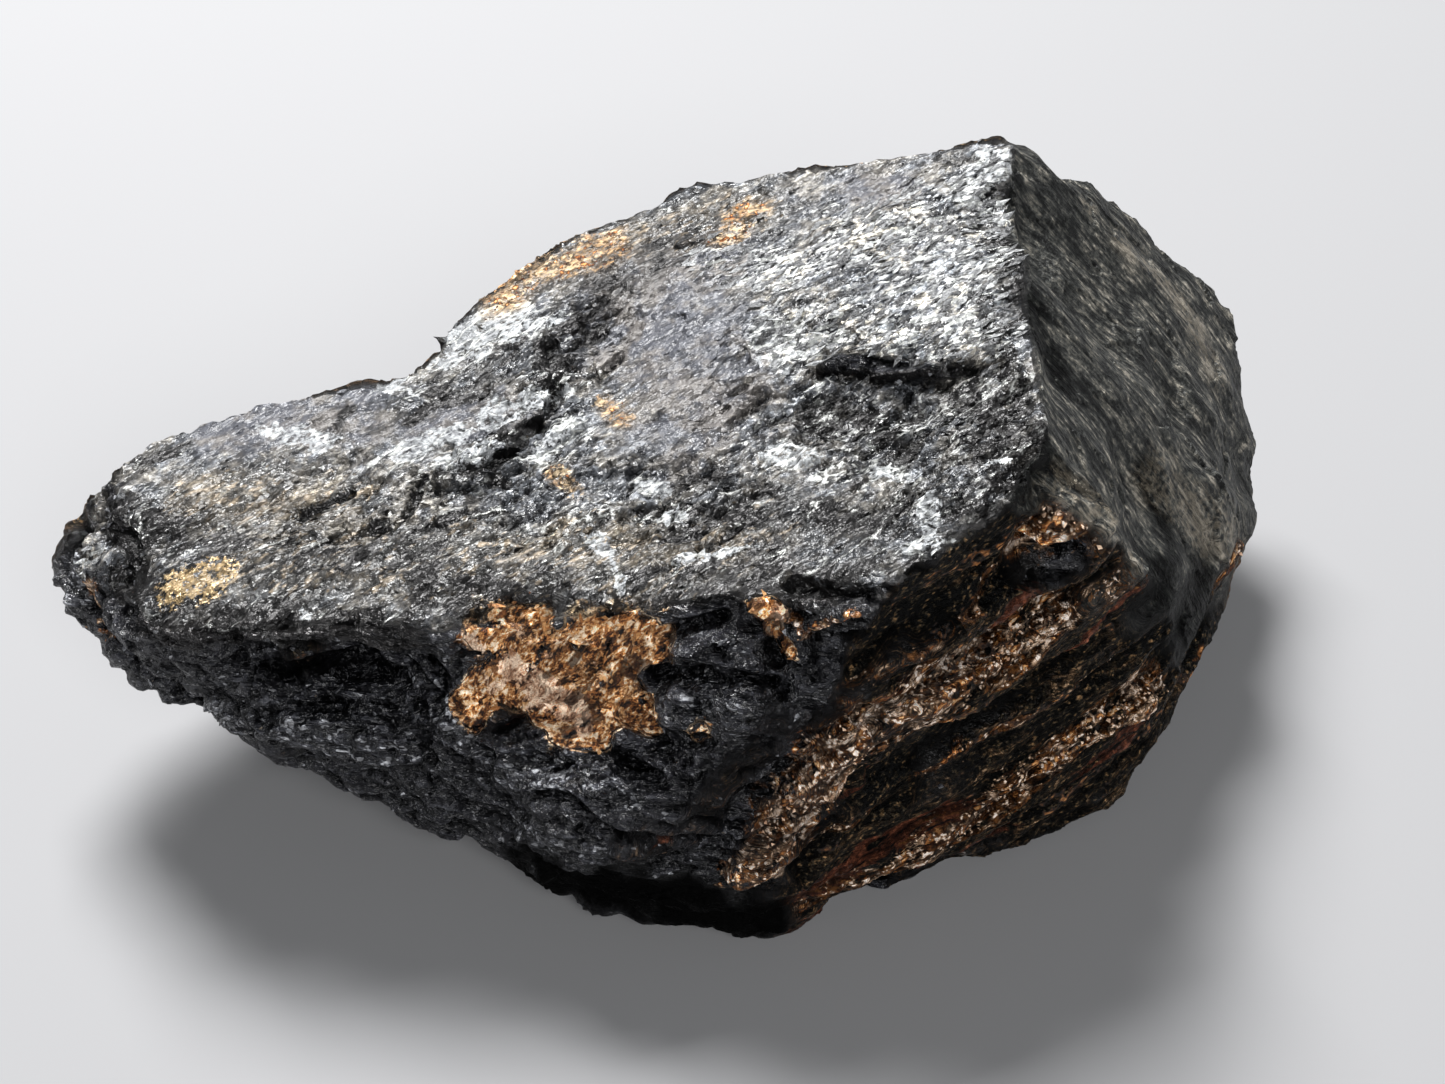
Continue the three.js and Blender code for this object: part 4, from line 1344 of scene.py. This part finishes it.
def stone_material(groups, name, known):
    """A material of the stone. Its masks say which mineral and finish each place shows."""
    material, wire, shader = new_material(name)
    on = StonePatterns(wire, groups, known)
    hackly, glint_flecks = hackly_colour(wire, on)
    colour = wire.mix(on.cleavage, hackly, cleavage_colour(wire, on))
    colour = wire.mix(on.layered, colour, layered_colour(wire, on))
    colour = wire.mix(on.end, colour, end_colour(wire, on))

    # Brown haze, then dark patches and painted shade, then painted glint flecks, pale crust and painted
    # glints over them.
    crumb_value = wire.add(0.45, on.off_middle(on.fine, 0.9), on.off_middle(on.medium, 0.5))
    colour = wire.mix(wire.times(on.haze, 0.9), colour, wire.multiply(colour, HAZE_TINT))
    colour, _ = on.grained(colour, wire.times(on.haze, 0.44), on.scaly, 0.3, HAZE_COLOURS)
    # Painted shade on the cleavage: darker where the dark mask holds shade strokes, and in the dark
    # patches.
    shaded = wire.between(on.dark, 0.0, 0.42, 1.0, 0.6)
    colour = wire.mix(on.cleavage, colour, wire.scaled(colour, shaded))
    colour, dark_there = on.stained(
        colour,
        wire.times(on.dark, wire.less(1.0, on.end), wire.blend_values(on.cleavage, 1.0, 0.72)),
        on.streaky, 1.5, wire.mix(on.layered, DARK_COLOUR, BELLY_SHADE_COLOUR),
    )
    # Painted glints: bright flecks on the hackly break.
    colour = wire.mix(wire.times(glint_flecks, on.hackly, 0.5), colour, GLINT_FLECK_COLOUR)
    crust = wire.between(wire.add(on.pale, wire.times(on.ridge, 0.1)), 0.46, 1.0, 0.0, 0.66)
    colour, pale_there = on.stained(
        colour, crust, on.fine, 2.2, wire.ramp(crumb_value, PALE_COLOURS)
    )
    colour = wire.mix(bright_lines(wire, on), colour, GLINT_COLOUR)

    # Specks, rust, red and tan along the layers.
    along = on.drawn(LAYER_NORMAL, 1 / 2.2)
    rust = wire.between(wire.add(on.rusty, wire.times(on.standing, 0.12)), 0.4, 0.95, 0.02, 0.5)
    rust = wire.times(on.layered, rust)
    colour, _ = on.grained(colour, wire.times(on.layered, 0.44), along, 0.26, SPECK_COLOURS, -0.06)
    colour, rust_there = on.grained(colour, rust, along, 0.45, RUST_COLOURS, -0.15)
    colour, _ = on.stained(
        colour, wire.times(on.red, 0.8), on.coarse, 1.4, wire.ramp(crumb_value, RED_COLOURS)
    )
    colour, _ = on.stained(
        colour, wire.times(on.tan, on.broken, 0.55), on.coarse, 1.5,
        wire.ramp(crumb_value, RUST_COLOURS),
    )
    colour, tan_there = lay_tan(wire, on, colour, crumb_value)
    colour, amber_there, film_there = lay_ochre(wire, on, colour)
    dusty = wire.highest(tan_there, film_there, amber_there, rust_there)

    # Painted highlight on ridges, and painted shade in hollows and on the belly, which is painted near
    # black.
    shine = wire.blend_values(on.hackly, 1.6, 3.0)
    colour = wire.mix(wire.times(on.ridge, 0.55), colour, wire.scaled(colour, shine))
    hollow_shade = wire.times(on.hollow, wire.less(0.65, wire.times(amber_there, 0.55)))
    colour = wire.mix(hollow_shade, colour, wire.scaled(colour, 0.25))
    colour = wire.mix(on.belly, colour, BELLY_SHADE_COLOUR)
    wire.feed(colour, shader.inputs["Base Color"])

    # The black mineral is half metallic where nothing dusts it, which keeps its hollows black.
    bare = wire.math("SUBTRACT", 0.9, dusty, clamp=True)
    wire.feed(wire.highest(
        wire.times(on.layered, bare), wire.times(on.hollow, 0.8, bare),
        on.belly, wire.times(dark_there, 0.6),
        wire.times(on.end, wire.blend_values(on.dark, 0.5, 0.9)),
        wire.times(on.silver, on.cleavage, 0.12),
    ), shader.inputs["Metallic"])

    gloss = wire.add(
        0.52, wire.times(on.cleavage, -0.12), wire.times(on.hackly, -0.24),
        wire.times(on.silver, -0.05), wire.times(on.smooth, 0.05), wire.times(on.end, 0.05),
        on.off_middle(on.medium, 0.25), wire.times(dusty, 0.45), wire.times(on.belly, 0.4),
        wire.times(pale_there, 0.2),
    )
    wire.feed(wire.between(gloss, 0.0, 1.0), shader.inputs["Roughness"])

    # Relief in millimetres. It reads only what the colour above already draws.
    roughness = wire.add(
        0.1, wire.times(on.layered, 0.15), wire.times(on.tan, on.broken, 0.4)
    )
    bump(wire, shader, wire.add(
        wire.times(on.chips["Height"], wire.add(wire.times(on.cleavage, 0.75), on.hackly)),
        on.off_middle(on.streaky, wire.add(wire.times(on.hackly, 0.1), 0.2)),
        on.off_middle(on.fine, roughness),
        wire.times(on.chips["Height"], on.filled, 0.8),
    ))
    return material


def crumb_material(groups, name, colours, roughness, mineral_colours=()):
    """A grain that stands proud of the stone. Each has its own shade, and some lie in rust or tan."""
    material, wire, shader = new_material(name)
    place = wire.node("ShaderNodeTexCoord").outputs["Object"]
    shade = wire.node("ShaderNodeAttribute", attribute_name="shade").outputs["Fac"]
    fine = wire.group(groups["mottle"], Vector=place, Size=0.4, Contrast=1.4)[0]
    specks = wire.group(groups["facets"], Vector=place, Size=0.25, Tilt=0.6)
    value = wire.add(
        -0.05, wire.times(shade, 0.65), wire.times(fine, 0.4), wire.times(specks["Shade"], 0.15)
    )
    colour = wire.ramp(value, colours)
    if mineral_colours:
        tan = wire.masks("stains")[1]
        patches = wire.group(groups["mottle"], Vector=place, Size=1.6, Contrast=1.6)[0]
        rust, pale = (wire.ramp(wire.add(value, lift), stops) for stops, lift in mineral_colours)
        colour = wire.mix(wire.between(patches, 0.42, 0.6), colour, rust)
        colour = wire.mix(wire.between(tan, 0.25, 0.8), colour, pale)
    hollow = wire.masks("shade_and_rust")[1]
    # Painted shade: grains that lie in hollows are darkened.
    colour = wire.mix(wire.times(hollow, 0.6), colour, wire.scaled(colour, 0.3))
    wire.feed(colour, shader.inputs["Base Color"])
    gloss = wire.between(fine, 0.0, 1.0, roughness - 0.1, roughness + 0.1)
    wire.feed(gloss, shader.inputs["Roughness"])
    bump(wire, shader, wire.add(wire.times(specks["Height"], 0.5), wire.times(fine, 0.12)))
    return material


def make_materials():
    groups = {
        "facets": facets_group(),
        "mottle": mottle_group(),
        "drawn out": drawn_out_group(),
        "broken mask": broken_mask_group(),
        "grains": grains_group(),
        "veins": veins_group(),
    }
    return {
        **{name: stone_material(groups, name, known) for name, known in KNOWN_MASKS.items()},
        "crumbs": crumb_material(
            groups, "ochre crumbs", OCHRE_COLOURS, 0.75, ((RUST_COLOURS, 0.15), (HEART_COLOURS, 0.1))
        ),
        "mica": crumb_material(groups, "mica flakes", CLEAVAGE_COLOURS, 0.35),
        "scale": crumb_material(groups, "black scales", HACKLY_COLOURS, 0.3),
    }


# ---- Grains scattered over the stone ---------------------------------------------------------------


def scatter_tree(name, sides, rings):
    """A tree that strews small shapes over the stone where its density attribute says so."""
    tree = bpy.data.node_groups.new(name, "GeometryNodeTree")
    new_socket = tree.interface.new_socket
    new_socket("Surface", in_out="INPUT", socket_type="NodeSocketGeometry")
    for socket, value in (
        ("Grains per square metre", 1e6), ("Spacing", 0.0003), ("Smallest", 0.0002),
        ("Largest", 0.0008), ("Tilt", 0.2), ("Flatness", 0.3), ("Lift", 0.0), ("Roughening", 0.0001),
        ("Spin", 3.14), ("Stretch", 1.0),
    ):
        new_socket(socket, in_out="INPUT", socket_type="NodeSocketFloat").default_value = value
    new_socket("Grain", in_out="INPUT", socket_type="NodeSocketVector").default_value = (1, 0, 0)
    new_socket("Seed", in_out="INPUT", socket_type="NodeSocketInt").default_value = 0
    new_socket("Material", in_out="INPUT", socket_type="NodeSocketMaterial")
    new_socket("Grains", in_out="OUTPUT", socket_type="NodeSocketGeometry")
    wire = Wiring(tree)
    entry = tree.nodes.new("NodeGroupInput").outputs
    exits = tree.nodes.new("NodeGroupOutput").inputs

    def chance(kind, low, high, seed):
        first, out = (0, 0) if kind == "FLOAT_VECTOR" else (2, 1)
        seed = wire.node("ShaderNodeMath", {0: entry["Seed"], 1: seed}, operation="ADD").outputs[0]
        inputs = {first: low, first + 1: high, 8: seed}
        return wire.node("FunctionNodeRandomValue", inputs, data_type=kind).outputs[out]

    density = wire.node("GeometryNodeInputNamedAttribute", {"Name": "density"}, data_type="FLOAT")
    strewn = wire.node(
        "GeometryNodeDistributePointsOnFaces",
        {
            "Mesh": entry["Surface"], "Distance Min": entry["Spacing"],
            "Density Max": entry["Grains per square metre"], "Density Factor": density.outputs[0],
            "Seed": entry["Seed"],
        },
        distribute_method="POISSON",
    )
    lift = wire.scaled(strewn.outputs["Normal"], entry["Lift"])
    raised = wire.node(
        "GeometryNodeSetPosition", {"Geometry": strewn.outputs["Points"], "Offset": lift}
    )
    seed_shape = wire.node(
        "GeometryNodeMeshUVSphere", {"Radius": 0.5, "Segments": sides, "Rings": rings}
    ).outputs["Mesh"]

    spin = chance("FLOAT_VECTOR", (-1.0, -1.0, -1.0), (1.0, 1.0, 1.0), 1)
    lean = wire.node(
        "ShaderNodeCombineXYZ", {0: entry["Tilt"], 1: entry["Tilt"], 2: entry["Spin"]}
    ).outputs[0]
    along_grain = wire.node(
        "FunctionNodeAlignRotationToVector",
        {"Rotation": strewn.outputs["Rotation"], "Vector": entry["Grain"]},
        axis="X", pivot_axis="Z",
    ).outputs[0]
    turn = wire.node(
        "FunctionNodeEulerToRotation", {"Euler": wire.vector("MULTIPLY", spin, lean)}
    ).outputs[0]
    stance = wire.node(
        "FunctionNodeRotateRotation",
        {"Rotation": along_grain, "Rotate By": turn},
        rotation_space="LOCAL",
    ).outputs[0]
    big = wire.math("POWER", chance("FLOAT", 0.0, 1.0, 2), 1.8)
    size = wire.add(
        entry["Smallest"], wire.times(big, wire.less(entry["Largest"], entry["Smallest"]))
    )
    length = wire.times(chance("FLOAT", 1.0, 1.5, 3), entry["Stretch"])
    proportions = wire.node(
        "ShaderNodeCombineXYZ",
        {0: length, 1: chance("FLOAT", 0.7, 1.0, 4), 2: entry["Flatness"]},
    ).outputs[0]
    placed = wire.node(
        "GeometryNodeInstanceOnPoints",
        {
            "Points": raised.outputs[0], "Instance": seed_shape, "Rotation": stance,
            "Scale": wire.scaled(proportions, size),
        },
    ).outputs[0]
    shaded = wire.node(
        "GeometryNodeStoreNamedAttribute",
        {"Geometry": placed, "Name": "shade", "Value": chance("FLOAT", 0.0, 1.0, 5)},
        data_type="FLOAT", domain="INSTANCE",
    ).outputs[0]
    real = wire.node("GeometryNodeRealizeInstances", {"Geometry": shaded}).outputs[0]
    here = wire.node("GeometryNodeInputPosition").outputs[0]
    bumps = wire.node("ShaderNodeTexNoise", {"Vector": here, "Scale": 2.2 / MM, "Detail": 1.0})
    shove = wire.vector("SUBTRACT", bumps.outputs["Color"], (0.5, 0.5, 0.5))
    broken = wire.node(
        "GeometryNodeSetPosition", {"Geometry": real, "Offset": wire.scaled(shove, entry["Roughening"])}
    ).outputs[0]
    painted_over = wire.node(
        "GeometryNodeSetMaterial", {"Geometry": broken, "Material": entry["Material"]}
    ).outputs[0]
    wire.feed(painted_over, exits["Grains"])
    return tree


def scatter(stone, name, tree, density, slot, **values):
    """Strews grains over the stone, as one plain piece."""
    ground = link(bpy.data.objects.new(name + " ground", stone.mesh.copy()))
    ground.data.attributes.new("density", "FLOAT", "POINT").data.foreach_set(
        "value", np.clip(density, 0, 1).astype(np.float32)
    )
    modifier = ground.modifiers.new("strew", "NODES")
    modifier.node_group = tree
    sockets = {
        item.name: item.identifier for item in tree.interface.items_tree if item.in_out == "INPUT"
    }
    for socket, value in values.items():
        modifier[sockets[socket.replace("_", " ")]] = value
    mesh = evaluated_mesh(ground)
    bpy.data.objects.remove(ground)
    mesh.name = name
    mesh.vertices.foreach_set("co", keep_above_floor(read_points(mesh)).ravel())
    piece = link(bpy.data.objects.new(name, mesh))
    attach(piece, "root")


def strew_grains(stone, materials):
    shards = scatter_tree("strewn shards", 4, 2)
    clean = 1 - np.maximum(stone.ochre, stone.tan)
    grain = tuple(CLEAVAGE_GRAIN)
    rough = 0.12 + 0.6 * stone.rugged + 0.2 * stone.silver - 0.1 * stone.smooth
    scatter(
        stone, "cleavage_scales", shards, stone.cleavage * clean * rough, "tantalite",
        Grains_per_square_metre=9e6, Spacing=0.2 * MM, Smallest=0.2 * MM, Largest=0.8 * MM,
        Tilt=0.35, Flatness=0.22, Lift=0.0, Roughening=0.12 * MM, Seed=10, Grain=grain,
        Spin=0.9, Stretch=1.3, Material=materials["tantalite cleavage"],
    )
    scatter(
        stone, "silver_flakes", shards,
        stone.cleavage * clean * stone.silver, "mica_flakes",
        Grains_per_square_metre=5e6, Spacing=0.22 * MM, Smallest=0.22 * MM, Largest=0.7 * MM,
        Tilt=0.3, Flatness=0.22, Lift=0.02 * MM, Roughening=0.12 * MM, Seed=11, Grain=grain,
        Spin=0.4, Stretch=2.2, Material=materials["mica"],
    )
    scatter(
        stone, "ochre_crumbs", shards,
        0.3 * rise(stone.hollow_fill, 0.2, 0.9) * (1 - 0.6 * stone.tan), "ochre_crumbs",
        Grains_per_square_metre=1.4e7, Spacing=0.15 * MM, Smallest=0.15 * MM, Largest=0.6 * MM,
        Tilt=1.0, Flatness=0.5, Lift=-0.04 * MM, Roughening=0.2 * MM, Seed=12,
        Grain=tuple(FILL_GRAIN), Spin=0.7, Stretch=1.6, Material=materials["crumbs"],
    )
    scatter(
        stone, "tan_crumbs", shards,
        stone.layered * np.maximum(0.25 * stone.crumbs, 0.04 * rise(stone.tan, 0.3, 1)), "ochre_crumbs",
        Grains_per_square_metre=1.2e7, Spacing=0.15 * MM, Smallest=0.12 * MM, Largest=0.42 * MM,
        Tilt=1.5, Flatness=0.8, Lift=-0.04 * MM, Roughening=0.2 * MM, Seed=13,
        Material=materials["crumbs"],
    )
    scatter(
        stone, "black_scales", shards,
        np.maximum(stone.hackly * 0.08, 0.7 * stone.crumbly) * clean * (1 - stone.belly), "tantalite",
        Grains_per_square_metre=4e6, Spacing=0.3 * MM, Smallest=0.2 * MM, Largest=0.7 * MM,
        Tilt=0.6, Flatness=0.4, Lift=-0.05 * MM, Roughening=0.2 * MM, Seed=14,
        Grain=tuple(HACKLY_GRAIN), Material=materials["scale"],
    )


# ---- Making the piece ------------------------------------------------------------------------------

make_camera()
make_floor()
make_light()
materials = make_materials()

stone = Stone(dense_copy(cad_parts[NODE], "stone"))
paint(stone)
raise_relief(stone)
find_ridges_and_hollows(stone)
store_masks(stone)
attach(stone.obj, "root")
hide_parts(NODE)
strew_grains(stone, materials)
stone.thin_out()
share_out_materials(stone.obj.data, materials)
